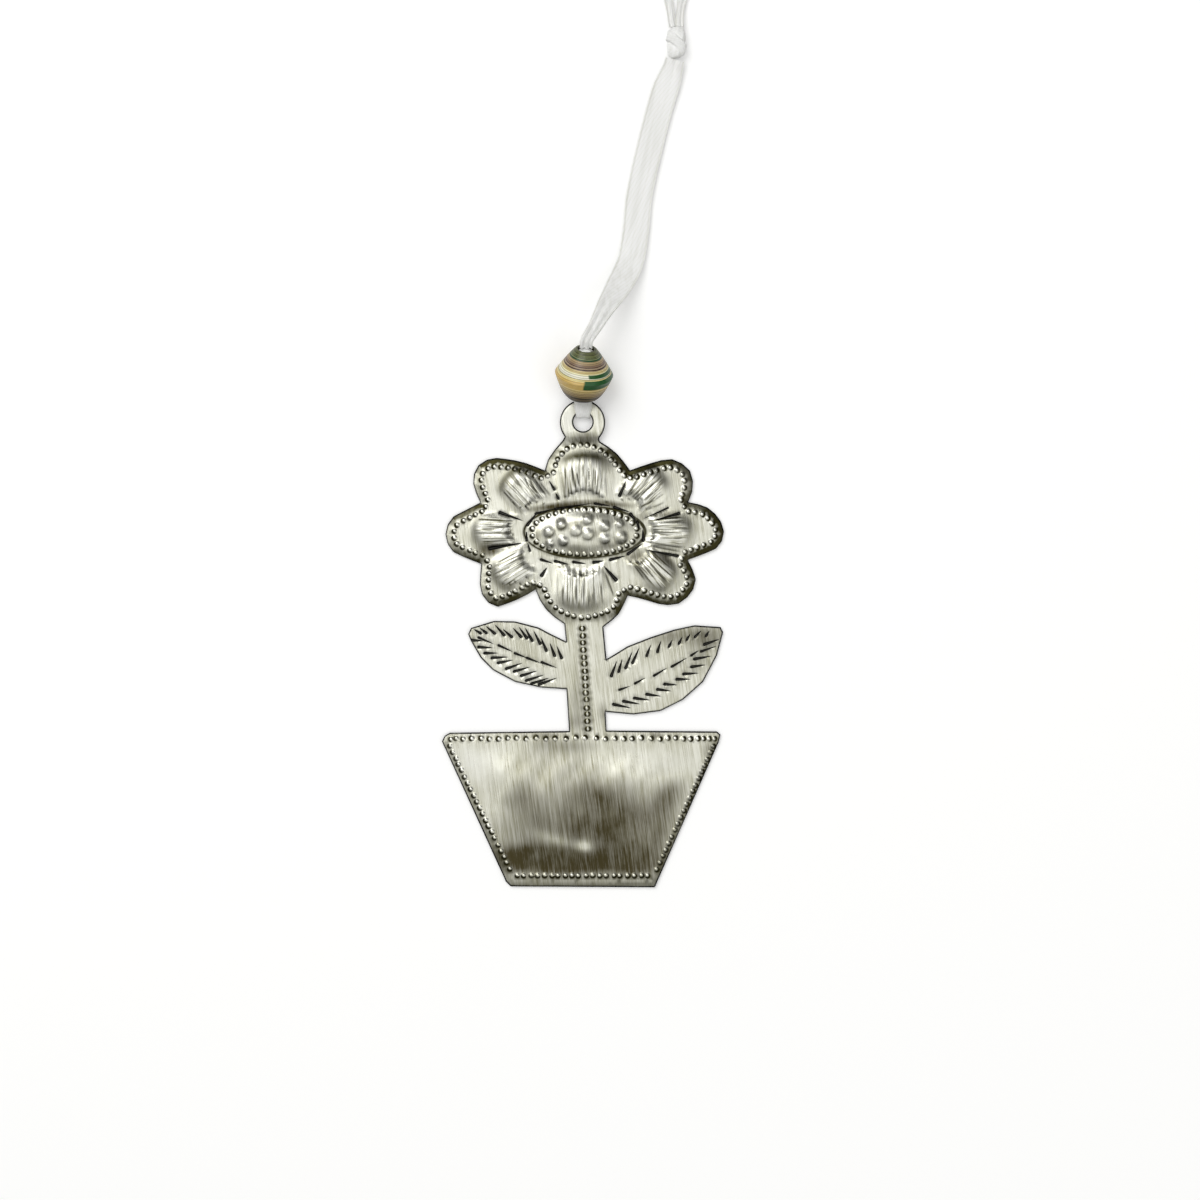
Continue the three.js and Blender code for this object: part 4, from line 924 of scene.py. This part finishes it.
def plateTones(plan, relief, edgeReach, outward, ofFlower, ofPot):
    # painted shade lies in the relief and in a band between the dots and the cut edge, darker on some sides
    # than others, and tarnish, painted shade and painted highlights lie in patches
    names = ("grime", "shine", "ink", "fan", "fanAcross", "fanAlong")
    taken = {name: sampled(relief[name], plan) for name in names}
    east, north = outward.T
    up, down, right, left = (np.clip(side, 0, 1) for side in (north, -north, east, -east))
    edgeShade = ofFlower * np.clip(0.32 + 0.9 * up + 0.55 * down + 0.35 * right - 0.2 * left, 0, 1)
    edgeShade += ofPot * (0.12 + 0.4 * down + 0.3 * right)
    dark = np.maximum(taken["grime"], edgeShade * (1 - smoothStep(edgeReach, 0.9, 1.8)))
    # the patches, less the painted highlights on the dots and seeds
    patch = sampled(tarnishShadeAndSheenField(), plan) - taken["shine"]
    # rim: a painted shadow along the cut edge, darker on its upper side, with some dark burr
    rim = 1 - smoothStep(edgeReach, 0.12, 0.42)
    rim = rim * np.clip(0.75 + 0.45 * up - 0.3 * ofFlower * (1 - up), 0, 1)
    bare = np.zeros(len(plan))
    tones = {  # on the back and on the face
        "grime": (0.4 * dark, dark),
        "patch": (bare + 0.25, patch),
        "chisel": (bare, taken["ink"]),
        "rim": (rim, rim),
        "fan": (bare, taken["fan"]),
        "fanAcross": (taken["fanAcross"], taken["fanAcross"]),
        "fanAlong": (taken["fanAlong"], taken["fanAlong"]),
    }
    return {name: np.concatenate(both) for name, both in tones.items()}


def buildPlate(material):
    outline = np.concatenate([evenly(run, plateMesh["outline"]) for run in cutRuns()])
    hole = circle(eye["hole"], eye["holeRadius"], plateMesh["holePoints"])
    dots = allDots()
    relief = pressRelief(dots)
    points, edgeTree, edgePoints = platePoints(outline, hole, dots)
    plan, faces = plateFaces(points, outline, hole)
    edgeReach, nearest = reachFrom(edgeTree, plan)
    outward = edgePoints[nearest] - plan
    outward /= np.maximum(np.linalg.norm(outward, axis=1), 1e-6)[:, None]
    # the sheet stands a little higher inside the dotted rims of the flower and the pot
    ofFlower = smoothStep(plan[:, 1], 60, 64) * (1 - smoothStep(plan[:, 1], 100, 102))
    ofPot = 1 - smoothStep(plan[:, 1], 33, 35.6)
    raised = plate["rimRise"] * (ofFlower + ofPot) * smoothStep(edgeReach, 0.2, 1.9)
    back = sampled(relief["height"], plan) + raised
    worn = plate["edgeWear"] * (1 - smoothStep(edgeReach, 0, 0.3))
    front = back + plate["sheet"] - sampled(relief["cut"], plan) - worn
    count = len(plan)
    verts = np.concatenate([np.column_stack([plan, back]), np.column_stack([plan, front])])
    ends = np.concatenate([faces[:, [0, 1]], faces[:, [1, 2]], faces[:, [2, 0]]])
    sides = set(map(tuple, ends.tolist()))
    walls = [(a, b, b + count, a + count) for a, b in sides if (b, a) not in sides]
    allFaces = (faces + count).tolist() + faces[:, ::-1].tolist() + walls
    tones = plateTones(plan, relief, edgeReach, outward, ofFlower, ofPot)
    piece = addPiece("plate_embossed", verts, allFaces, material, tones, sharpAngle=38)
    print("plate:", len(verts), "points", len(allFaces), "faces")
    return piece


# materials

steelLook = {
    "bright": (0.8, 0.795, 0.7, 1),
    "dull": (0.46, 0.45, 0.33, 1),
    "highlight": (0.86, 0.86, 0.79, 1),
    "tarnishAndShade": (0.063, 0.052, 0.023, 1),
    "grime": (0.035, 0.032, 0.012, 1),
    "black": (0.008, 0.008, 0.007, 1),
    "chiselled": (0.07, 0.068, 0.06, 1),
    "brushLean": math.radians(8),
    "fineLines": 5200,  # brush lines and blotches to a metre
    "broadLines": 2100,
    "blotches": 210,
    "flutes": 2.3,  # streaks to a mm across a petal, and how far they are drawn out along it
    "fluteStretch": 0.07,
}


def flutedLightAndShade(tree):
    # painted highlights streak the flutes along the petal, with fine lines of painted shade between
    spread = tree.nodes.new("ShaderNodeCombineXYZ")
    tree.links.new(readAttribute(tree, "fanAcross"), spread.inputs[0])
    tree.links.new(times(tree, readAttribute(tree, "fanAlong"), steelLook["fluteStretch"]), spread.inputs[1])
    flutes = tree.nodes.new("ShaderNodeTexNoise")
    flutes.inputs["Scale"].default_value = steelLook["flutes"]
    flutes.inputs["Detail"].default_value = 2
    tree.links.new(spread.outputs[0], flutes.inputs["Vector"])
    stops = [(0.40, steelLook["grime"]), (0.455, steelLook["dull"]), (0.53, steelLook["highlight"])]
    return ramped(tree, flutes.outputs["Fac"], stops)


def steelMaterial():
    material, tree, shader = newMaterial("brushedSteel")
    look = steelLook
    # brush lines: long up the plant, fine across it
    fine = noise(tree, look["fineLines"], 2, (1, 40, 4), look["brushLean"], 0.6)
    broad = noise(tree, look["broadLines"], 2, (1, 30, 3), look["brushLean"] * 0.8, 0.5)
    blotch = noise(tree, look["blotches"], 5, (1, 1.5, 1), 0, 0.6)
    lines = plus(tree, times(tree, fine, 0.65), times(tree, broad, 0.35))
    tone = plus(tree, times(tree, lines, 0.7), times(tree, blotch, 0.3))
    color = ramped(tree, tone, [(0.38, look["dull"]), (0.58, look["bright"])])
    patch, grime, fan, chisel = (readAttribute(tree, key) for key in ("patch", "grime", "fan", "chisel"))
    # the fans take the flutes' painted highlights and shade
    color = mixed(tree, times(tree, fan, 0.85, True), color, flutedLightAndShade(tree))
    mottle = ranged(tree, blotch, 0.3, 0.7, 0.85, 1.15)
    worn = plus(tree, mottle, ranged(tree, lines, 0.35, 0.65, 0.15, -0.15))
    # painted highlights and bright reflections where the patches are below 0, tarnish with painted shade
    # where they are above
    color = mixed(tree, times(tree, times(tree, patch, -0.9, True), worn, True), color, look["highlight"])
    color = mixed(tree, times(tree, patch, worn, True), color, look["tarnishAndShade"])
    # painted shade: the relief's hollows, the dots' far sides, the grooves and the band inside the cut edge
    # are darkened
    color = mixed(tree, times(tree, times(tree, grime, 1.25, True), mottle, True), color, look["grime"])
    # the chisel cuts are painted black with shade and oxide, and grey in the middle of the head
    color = mixed(tree, times(tree, chisel, 2.6, True), color, look["black"])
    color = mixed(tree, ranged(tree, chisel, 0.8, 1.0, 0.0, 1.0), color, look["chiselled"])
    # the painted shadow and dark burr along the cut edge
    rim = times(tree, readAttribute(tree, "rim"), ranged(tree, blotch, 0.3, 0.7, 1.1, 2.1), True)
    color = mixed(tree, rim, color, look["black"])
    tree.links.new(color, shader.inputs["Base Color"])
    shader.inputs["Metallic"].default_value = 1.0
    rough = plus(tree, ranged(tree, lines, 0.35, 0.65, 0.24, 0.42), times(tree, patch, 0.1, True))
    tree.links.new(rough, shader.inputs["Roughness"])
    addBump(tree, shader, lines, 0.00005, 0.5)
    return material


satinLook = {
    "threads": 150.0,  # lengthwise threads, as radians of a wave over half the width
    "picks": 26.0,  # and the threads across, as radians to a mm along
    "slant": (24.0, 3.2),  # the twill, in the same two measures
    "edge": [(0.80, (1, 1, 1, 1)), (0.88, (0.86, 0.86, 0.83, 1)), (0.95, (0.95, 0.95, 0.93, 1))],
    "streaks": [(0.34, (0.9, 0.9, 0.875, 1)), (0.6, (0.99, 0.99, 0.98, 1))],
    "twill": [(0, (0.955, 0.96, 0.94, 1)), (0.5, (1, 1, 1, 1))],
}


def satinMaterial():
    material, tree, shader = newMaterial("whiteSatin")
    look = satinLook
    across, along = readAttribute(tree, "across"), readAttribute(tree, "along")
    sine = lambda value: mathNode(tree, "SINE", value)
    threads, picks = sine(times(tree, across, look["threads"])), sine(times(tree, along, look["picks"]))
    weave = plus(tree, times(tree, threads, 0.6), times(tree, picks, 0.25))
    tone = ramped(tree, noise(tree, 1100, 2, (1, 18, 1), math.radians(-14)), look["streaks"])
    slant = plus(tree, times(tree, across, look["slant"][0]), times(tree, along, look["slant"][1]))
    twill = ramped(tree, ranged(tree, sine(slant), -1, 1, 0, 1), look["twill"])
    selvage = ramped(tree, mathNode(tree, "ABSOLUTE", across), look["edge"])
    for pattern in (twill, selvage):
        tone = mixed(tree, 1.0, tone, pattern, "MULTIPLY")
    tree.links.new(tone, shader.inputs["Base Color"])
    for key, value in (("Roughness", 0.45), ("Sheen Weight", 0.3), ("Sheen Roughness", 0.4)):
        shader.inputs[key].default_value = value
    addBump(tree, shader, weave, 0.00005, 0.35)
    return material


# the bead: one strip of printed paper, rolled up and varnished

bead = {
    "centre": (0.3, 117.5, 6.1),
    "axis": (0.0731, 0.8355, 0.5446),
    "length": 12.3,
    "radius": 6.6,
    "fullness": (0.46, 0.86),  # of the lower and the upper half; less is fuller
    "outOfRound": 0.05,
    "endRadius": 2.3,
    "bore": 1.9,
    "turns": 17,  # turns of the strip that show on each half
    "step": 0.07,
}
upperStops = [  # colours of the strip's edge from the bead's belly to its upper end
    (0, (0.68, 0.47, 0.14)), (0.13, (0.86, 0.74, 0.33)), (0.18, (0.74, 0.6, 0.24)),
    (0.2, (0.3, 0.28, 0.11)), (0.215, (0.9, 0.88, 0.7)), (0.255, (0.42, 0.42, 0.22)),
    (0.265, (0.92, 0.9, 0.74)), (0.33, (0.5, 0.5, 0.27)), (0.34, (0.9, 0.86, 0.53)),
    (0.385, (0.72, 0.58, 0.25)), (0.425, (0.36, 0.23, 0.089)), (0.44, (0.82, 0.7, 0.33)),
    (0.475, (0.36, 0.25, 0.16)), (0.495, (0.03, 0.01, 0.008)), (0.53, (0.38, 0.28, 0.18)),
    (0.575, (0.06, 0.021, 0.014)), (0.605, (0.28, 0.19, 0.12)), (0.65, (0.21, 0.13, 0.076)),
    (0.665, (0.45, 0.33, 0.17)), (0.7, (0.24, 0.15, 0.083)), (0.715, (0.52, 0.39, 0.2)),
    (0.755, (0.28, 0.21, 0.095)), (0.77, (0.01, 0.065, 0.022)), (0.815, (0.22, 0.25, 0.11)),
    (0.845, (0.026, 0.052, 0.019)), (0.86, (0.21, 0.23, 0.095)), (0.885, (0.022, 0.039, 0.013)),
    (0.9, (0.17, 0.19, 0.07)), (0.95, (0.026, 0.03, 0.011)), (0.965, (0.12, 0.13, 0.051)),
]
lowerStops = [  # and from the belly to its lower end, where the last, near-black band is painted shade at the foot
    (0, (0.68, 0.47, 0.14)), (0.2, (0.8, 0.66, 0.3)), (0.25, (0.6, 0.44, 0.16)), (0.3, (0.22, 0.14, 0.052)),
    (0.315, (0.66, 0.53, 0.24)), (0.37, (0.2, 0.12, 0.048)), (0.385, (0.5, 0.38, 0.17)),
    (0.44, (0.12, 0.07, 0.03)), (0.46, (0.42, 0.31, 0.14)), (0.52, (0.1, 0.06, 0.026)),
    (0.55, (0.26, 0.19, 0.081)), (0.61, (0.04, 0.027, 0.013)), (0.7, (0.13, 0.09, 0.041)),
    (0.76, (0.03, 0.02, 0.0096)),
]
greenPrint = {  # two broad green prints that cross the right side, from the middle of the belly's front
    "color": (0.012, 0.095, 0.018, 1),
    "starts": {"upper": 0.2, "belly": 0.03, "foot": 0.03},  # how far to the right each begins
    "upper": [(0.235, 0), (0.25, 1), (0.36, 1), (0.375, 0)],
    "belly": [(0.0, 1), (0.165, 1), (0.18, 0)],
    "foot": [(0.0, 1), (0.17, 1), (0.185, 0)],
}


def buildBead(material):
    axis, right, up = frameOf(bead["axis"])
    half = bead["length"] / 2
    around, rows = 144, 181
    turn = np.arange(around) * 2 * math.pi / around
    grid, angle = np.meshgrid(np.linspace(-half, half, rows), turn, indexing="ij")
    share = np.abs(grid) / half
    fullness = np.where(grid < 0, *bead["fullness"])
    radius = bead["endRadius"] + (bead["radius"] - bead["endRadius"]) * (1 - share) ** fullness
    # the strip winds, so its steps run round as a slow spiral
    phase = share * bead["turns"] + np.where(grid < 0, 1, -1) * angle / (2 * math.pi)
    saw = phase - np.floor(phase)
    notch = smoothStep(saw, 0.0, 0.12) * (1 - smoothStep(saw, 0.75, 1.0))
    radius = radius - bead["step"] * (1 - notch) * smoothStep(share, 0.02, 0.1)
    radius = radius + bead["outOfRound"] * np.sin(2 * angle + 0.6) * (1 - share)
    outside = radius[..., None] * spokes(angle, right, up) + grid[..., None] * axis
    boreRows = (half, half * 0.6, -half * 0.6, -half)
    bore = np.stack([bead["bore"] * spokes(turn, right, up) + h * axis for h in boreRows])
    points = np.concatenate([outside, bore]).reshape(-1, 3) + np.array(bead["centre"])
    total = rows + len(boreRows)
    faces = []
    for i in range(total):
        row, nextRow = i * around, (i + 1) % total * around
        faces += [(row + j, row + k, nextRow + k, nextRow + j) for j, k in ringPairs(around)]
    full = lambda field, value: np.concatenate([field.ravel(), np.full(len(boreRows) * around, value)])
    attributes = {
        # in the bore, the upper end's last dark colour and full lap shade are painted shade inside the hole
        "upper": full(np.clip(grid / half, 0, 1), 0.97),
        "lower": full(np.clip(-grid / half, 0, 1), 0.0),
        "winding": full(np.mod(angle / (2 * math.pi) + 0.25, 1), 0.0),  # starts on the side that rests
        "side": full(np.cos(angle), 0.0),
        "lapShade": full(1 - notch, 1.0),
    }
    return addPiece("bead_rolled_paper", points, faces, material, attributes, sharpAngle=60)


paperLook = {
    "spiral": 0.06,  # how far along the bead a band climbs in one turn
    "jitter": 0.03,
    "lapShade": 0.6,  # how dark the shade painted into the steps between the turns is
    "lapShadeColor": (0.03, 0.022, 0.016, 1),
    "varnish": {"Roughness": 0.4, "Specular IOR Level": 0.25, "Coat Weight": 0.5, "Coat Roughness": 0.12},
}


def paperMaterial():
    material, tree, shader = newMaterial("varnishedPaper")
    keys = ("upper", "lower", "winding", "lapShade", "side")
    upper, lower, winding, lapShade, side = (readAttribute(tree, key) for key in keys)
    drift = noise(tree, 160, 2)
    spiral = times(tree, mathNode(tree, "SUBTRACT", winding, 1.0), paperLook["spiral"])
    jitter = times(tree, mathNode(tree, "SUBTRACT", drift, 0.5), paperLook["jitter"])
    top = plus(tree, mathNode(tree, "SUBTRACT", upper, spiral), jitter)
    foot = plus(tree, plus(tree, lower, spiral), jitter)
    opaque = lambda stops: [(at, (*rgb, 1)) for at, rgb in stops]
    topColor = ramped(tree, top, opaque(upperStops), "CONSTANT")
    footColor = ramped(tree, foot, opaque(lowerStops), "CONSTANT")
    ragged = plus(tree, side, times(tree, drift, 0.25))

    def printed(color, height, key):
        start = greenPrint["starts"][key]
        band = ramped(tree, height, [(at, (level, level, level, 1)) for at, level in greenPrint[key]])
        begun = ranged(tree, ragged, start + 0.09, start + 0.15, 0, 1)
        return mixed(tree, times(tree, band, begun), color, greenPrint["color"])

    topColor = printed(topColor, top, "upper")
    topColor = printed(topColor, top, "belly")
    footColor = printed(footColor, foot, "foot")
    color = mixed(tree, mathNode(tree, "GREATER_THAN", lower, 0.0001), topColor, footColor)
    color = mixed(tree, times(tree, lapShade, paperLook["lapShade"]), color, paperLook["lapShadeColor"])
    tree.links.new(color, shader.inputs["Base Color"])
    for key, value in paperLook["varnish"].items():
        shader.inputs[key].default_value = value
    addBump(tree, shader, noise(tree, 1400, 3), 0.00008, 0.3)
    return material


# the ribbon: 6 mm satin, folded in half

ribbon = {
    "width": 6.0,
    "thickness": 0.2,
    "plyGap": 0.35,
    "bunchHalf": 1.35,
    "mouthStations": (0.3, 1.9),
    "legRoute": [
        (2.7, 127.4, 9.7), (5.2, 132.3, 7.2), (8.3, 137.9, 3.4), (10.9, 143.6, 1.1), (12.1, 150.5, 0.55),
        (12.9, 158.5, 0.45), (15.2, 169.4, 0.45), (18.3, 181.3, 0.5), (20.5, 187.6, 1), (21.1, 189.9, 1.6),
    ],
    "slideTravel": 62.0,
    "slideAxis": (21.1, 76.2, 0),
    "tailRoutes": {
        "ribbon_tail_left": [
            (20.6, 197.4, 1.5), (20.2, 200.5, 0.9), (19.6, 204.5, 0.45), (18.2, 211.5, 0.3),
            (16.6, 218.3, 0.3),
        ],
        "ribbon_tail_right": [
            (22.2, 197.4, 1.5), (22.3, 200.5, 0.9), (22.9, 204.5, 0.45), (24.8, 211.5, 0.3),
            (26.9, 217.2, 0.3),
        ],
    },
    "tailStart": 1.7,  # how wide a tail leaves the knot
    "knotCentre": (21.4, 193.7, 1.75),
    "knotHalf": (2.6, 3.65, 1.7),
    "coreRadius": 1.8,
}


def beadMouth(sign, beyond=0.0):
    axis = frameOf(bead["axis"])[0]
    return np.array(bead["centre"]) + sign * (bead["length"] / 2 + beyond) * axis


def stripFaces(steps, columns):
    # both sides of a strip, then its long edges and its two ends
    width, total = columns + 1, (steps + 1) * (columns + 1)
    faces = []
    for i in range(steps):
        for j in range(columns):
            a, b, c, d = i * width + j, i * width + j + 1, (i + 1) * width + j + 1, (i + 1) * width + j
            faces += [(a, d, c, b), (a + total, b + total, c + total, d + total)]
        a, d = i * width, (i + 1) * width
        faces.append((a, a + total, d + total, d))
        a, d = a + columns, d + columns
        faces.append((a, d, d + total, a + total))
    for a in range(columns):
        faces.append((a, a + 1, a + 1 + total, a + total))
    for a in range(steps * width, steps * width + columns):
        faces.append((a, a + total, a + 1 + total, a + 1))
    return faces


def strip(name, line, halfWidths, material, shift=0.0, fold=None, steps=110, columns=16, thickness=None):
    # a flat strip along a line that lies level from edge to edge. fold(u, share) lifts it, u from -1 to 1
    thickness = ribbon["thickness"] if thickness is None else thickness
    shares = np.linspace(0, 1, steps + 1)
    centre = alongLine(line, shares)
    along = np.gradient(centre, axis=0)
    along /= np.linalg.norm(along, axis=1)[:, None]
    across = np.stack([-along[:, 1], along[:, 0], np.zeros(len(along))], 1)
    across /= np.linalg.norm(across, axis=1)[:, None]
    through = np.cross(along, across)
    u = np.linspace(-1, 1, columns + 1)
    lift = np.array([[fold(v, s) if fold else 0.0 for v in u] for s in shares]) + shift
    aside = u[None, :] * np.array([halfWidths(s) for s in shares])[:, None]
    middle = centre[:, None] + across[:, None] * aside[..., None] + through[:, None] * lift[..., None]
    normal = np.cross(np.gradient(middle, axis=0), np.gradient(middle, axis=1))
    normal /= np.maximum(np.linalg.norm(normal, axis=2), 1e-9)[..., None]
    offset = normal * thickness / 2
    points = np.concatenate([(middle + offset).reshape(-1, 3), (middle - offset).reshape(-1, 3)])
    travelled, places = np.meshgrid(shares * lineLength(line), u, indexing="ij")
    attributes = {"across": np.tile(places.ravel(), 2), "along": np.tile(travelled.ravel(), 2)}
    return addPiece(name, points, stripFaces(steps, columns), material, attributes, sharpAngle=60)


def buildLegs(material):
    line = cordLine([beadMouth(1, s) for s in ribbon["mouthStations"]] + list(ribbon["legRoute"]))
    length = lineLength(line)
    path = alongLine(line, np.linspace(0, 1, 40))
    legs = []
    for name, side in (("ribbon_leg_front", 1), ("ribbon_leg_back", -1)):
        def halfWidths(share):
            opened = smoothStep(share, 0.02, 0.3) * (1 - 0.5 * smoothStep(share, 0.9, 1))
            return ribbon["bunchHalf"] + (ribbon["width"] / 2 - ribbon["bunchHalf"]) * opened

        def fold(u, share, side=side):
            # pleats at both ends, and a slight sway between
            gather = 1 - smoothStep(share, 0.03, 0.3) + 0.45 * smoothStep(share, 0.88, 1)
            sway = 0.05 * math.sin(9 * share + side) * (u * u - 0.4)
            return gather * 0.3 * math.cos(7.2 * u + 1.1 * side + 3 * share) + sway

        shift = side * (ribbon["plyGap"] + ribbon["thickness"]) / 2
        leg = strip(name + "_satin", line, halfWidths, material, shift, fold)
        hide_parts(name)
        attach(leg, "ribbon")
        legs.append(leg)
    direction = np.array(ribbon["slideAxis"])
    direction /= np.linalg.norm(direction)
    knotNear = np.array(ribbon["legRoute"][-1], float)
    reach = float((knotNear - beadMouth(1)) @ direction)
    for leg in legs:
        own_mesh(leg)
    print("ribbon legs:", round(length, 1), "mm")
    return legs


def buildTails(material):
    tails = []
    for name, route in ribbon["tailRoutes"].items():
        line = cordLine(route)
        lean = 1 if "left" in name else -1

        def halfWidths(share):
            opened = smoothStep(share, 0.15, 1)
            return (ribbon["tailStart"] + (ribbon["width"] - ribbon["tailStart"]) * opened) / 2

        def fold(u, share, lean=lean):
            return (1 - smoothStep(share, 0.1, 0.7)) * 0.22 * math.cos(5 * u + lean)

        tail = strip(name + "_satin", line, halfWidths, material, 0, fold, steps=44, columns=12)
        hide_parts(name)
        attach(tail, "ribbon")
        tails.append(tail)
    return tails


def buildKnot(material):
    # the overhand knot: a fat lump of ribbon with one turn lying aslant over it
    cx, cy, cz = ribbon["knotCentre"]
    hx, hy, hz = ribbon["knotHalf"]
    around, rows = 96, 90
    points = [(cx, cy - hy * 0.96, cz - 0.1)]
    for i in range(1, rows):
        lat = -math.pi / 2 + math.pi * i / rows
        for j in range(around):
            turn = 2 * math.pi * j / around
            slant = math.sin(lat) + 0.6 * math.cos(turn)
            wrap = 1 - smoothStep(abs(slant), 0.24, 0.44)
            crease = 0.13 * wrap + 0.015 * math.cos(24 * slant)
            crease -= 0.08 * math.exp(-((abs(slant) - 0.46) / 0.09) ** 2)
            fold = 0.03 * math.cos(7 * turn + 3 * lat) * (1 - wrap)
            r = math.cos(lat) ** 0.36 * (0.83 + crease + fold)
            x = cx + hx * r * math.cos(turn) * 0.98
            z = cz + hz * max(r * math.sin(turn), -0.98)
            points.append((x, cy + hy * math.sin(lat) * 0.96 + 0.22 * (x - cx), z))
    points.append((cx, cy + hy * 0.96, cz - 0.1))
    faces = []
    for j, k in ringPairs(around):
        faces.append((0, 1 + j, 1 + k))
        for a in range(1, 1 + (rows - 2) * around, around):
            faces.append((a + j, a + around + j, a + around + k, a + k))
        last = 1 + (rows - 2) * around
        faces.append((last + j, len(points) - 1, last + k))
    attributes = {
        "across": [0.7 * math.sin(0.9 * (p[1] - cy)) for p in points],
        "along": [p[0] - cx for p in points],
    }
    knot = addPiece("ribbon_knot_satin", points, faces, material, attributes)
    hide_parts("ribbon_knot")
    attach(knot, "ribbon")
    return knot


def buildStrand(name, start, end, radius, material):
    # both halves of the ribbon bunched into one round strand, with soft pleats and rounded ends
    axis, right, up = frameOf(end - start)
    around, rows = 60, 40
    turn = np.arange(around) * 2 * math.pi / around
    points = [start]
    for share in np.linspace(0, 1, rows + 2)[1:-1]:
        rounded = (1 - abs(2 * share - 1) ** 16) ** 0.5
        r = (radius * rounded * (0.9 + 0.1 * np.cos(7 * turn + 2.5 * share)))[:, None]
        points += list(start + share * (end - start) + r * spokes(turn, right, up))
    points.append(end)
    last = len(points) - 1
    faces = [(0, 1 + k, 1 + j) for j, k in ringPairs(around)]
    faces += [(last, last - around + j, last - around + k) for j, k in ringPairs(around)]
    for a in range(1, 1 + (rows - 1) * around, around):
        faces += [(a + j, a + k, a + around + k, a + around + j) for j, k in ringPairs(around)]
    points = np.array(points)
    attributes = {"across": 0.7 * np.sin(5 * ((points - start) @ right)), "along": (points - start) @ axis}
    return addPiece(name, points, faces, material, attributes)


def buildBight(material, rim, front, back):
    # the fold in the eye, from its face round under the eye's upper edge to its back
    top = eye["hole"][1] + eye["holeRadius"]
    line = [  # y and z in the middle plane of the eye
        (rim + 0.2, front + 0.05), (rim - 1.2, front), (top + 0.1, front - 0.02), (top - 0.95, front - 0.4),
        (top - 1.3, (front + back) / 2), (top - 0.95, back + 0.35), (top + 0.1, back), (rim - 1.0, back),
        (rim + 0.5, back),
    ]

    def halfWidths(share):
        return 2.05 - 0.45 * smoothStep(share, 0.2, 0.4) + 0.2 * smoothStep(share, 0.6, 0.9)

    def fold(u, share):
        return 0.05 * math.cos(6 * u + 4 * share) - 0.1 * u * u

    line = cordLine([(0.0, y, z) for y, z in line])
    mesh = {"steps": 60, "columns": 12, "thickness": 0.25}
    bight = strip("ribbon_bight_satin", line, halfWidths, material, 0, fold, **mesh)
    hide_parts("ribbon_bight")
    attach(bight, "bight")


def buildNeck(material, rim, front, back):
    # both halves of the ribbon, from the eye into the foot of the bead
    mouth = beadMouth(-1)
    frontLine = [(0, rim + 0.25, front + 0.05), (mouth[0] * 0.5, mouth[1] + 0.1, mouth[2] - 0.1)]
    frontLine = cordLine(frontLine + [beadMouth(-1, -1.2)])
    backLine = [(0, rim + 0.45, back + 0.1), (0, rim + 0.68, back + 0.6), (0, rim + 0.6, front - 0.3)]
    backLine = cordLine(backLine + [beadMouth(-1, -0.9)])
    mesh = {"steps": 30, "columns": 10, "thickness": 0.22}
    neckFront = strip("ribbon_neck_front_satin", frontLine, lambda s: 1.9 - 0.6 * s, material, 0.15, **mesh)
    neckBack = strip("ribbon_neck_back_satin", backLine, lambda s: 1.6 - 0.35 * s, material, -0.1, **mesh)
    for neck in (neckFront, neckBack):
        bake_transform(neck)
    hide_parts("ribbon_neck")


def buildCore(material):
    ends = beadMouth(-1, -0.7), beadMouth(1, -0.05)
    core = buildStrand("ribbon_core_satin", *ends, ribbon["coreRadius"], material)
    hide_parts("ribbon_core")
    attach(core, "bead_run")


satin = satinMaterial()
knot = buildKnot(satin)
tails = buildTails(satin)
buildLegs(satin)
print("knot, tails and legs done")

eyeSides = {  # where the ribbon lies on the eye: its upper rim, and how high on its face and its back
    "rim": eye["centre"][1] + eye["radius"],
    "front": plate["sheet"] + plate["eyeLift"] + 0.5,
    "back": plate["eyeLift"] - 0.5,
}
buildBight(satin, **eyeSides)
buildNeck(satin, **eyeSides)
buildCore(satin)
print("ribbon done")

paperBead = buildBead(paperMaterial())
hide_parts("paper_bead")
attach(paperBead, "bead")
print("bead done")

steelPlate = buildPlate(steelMaterial())
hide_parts("embossed_plate")
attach(steelPlate, "plate")
print("plate done")

bpy.context.scene.view_settings.view_transform = "Standard"
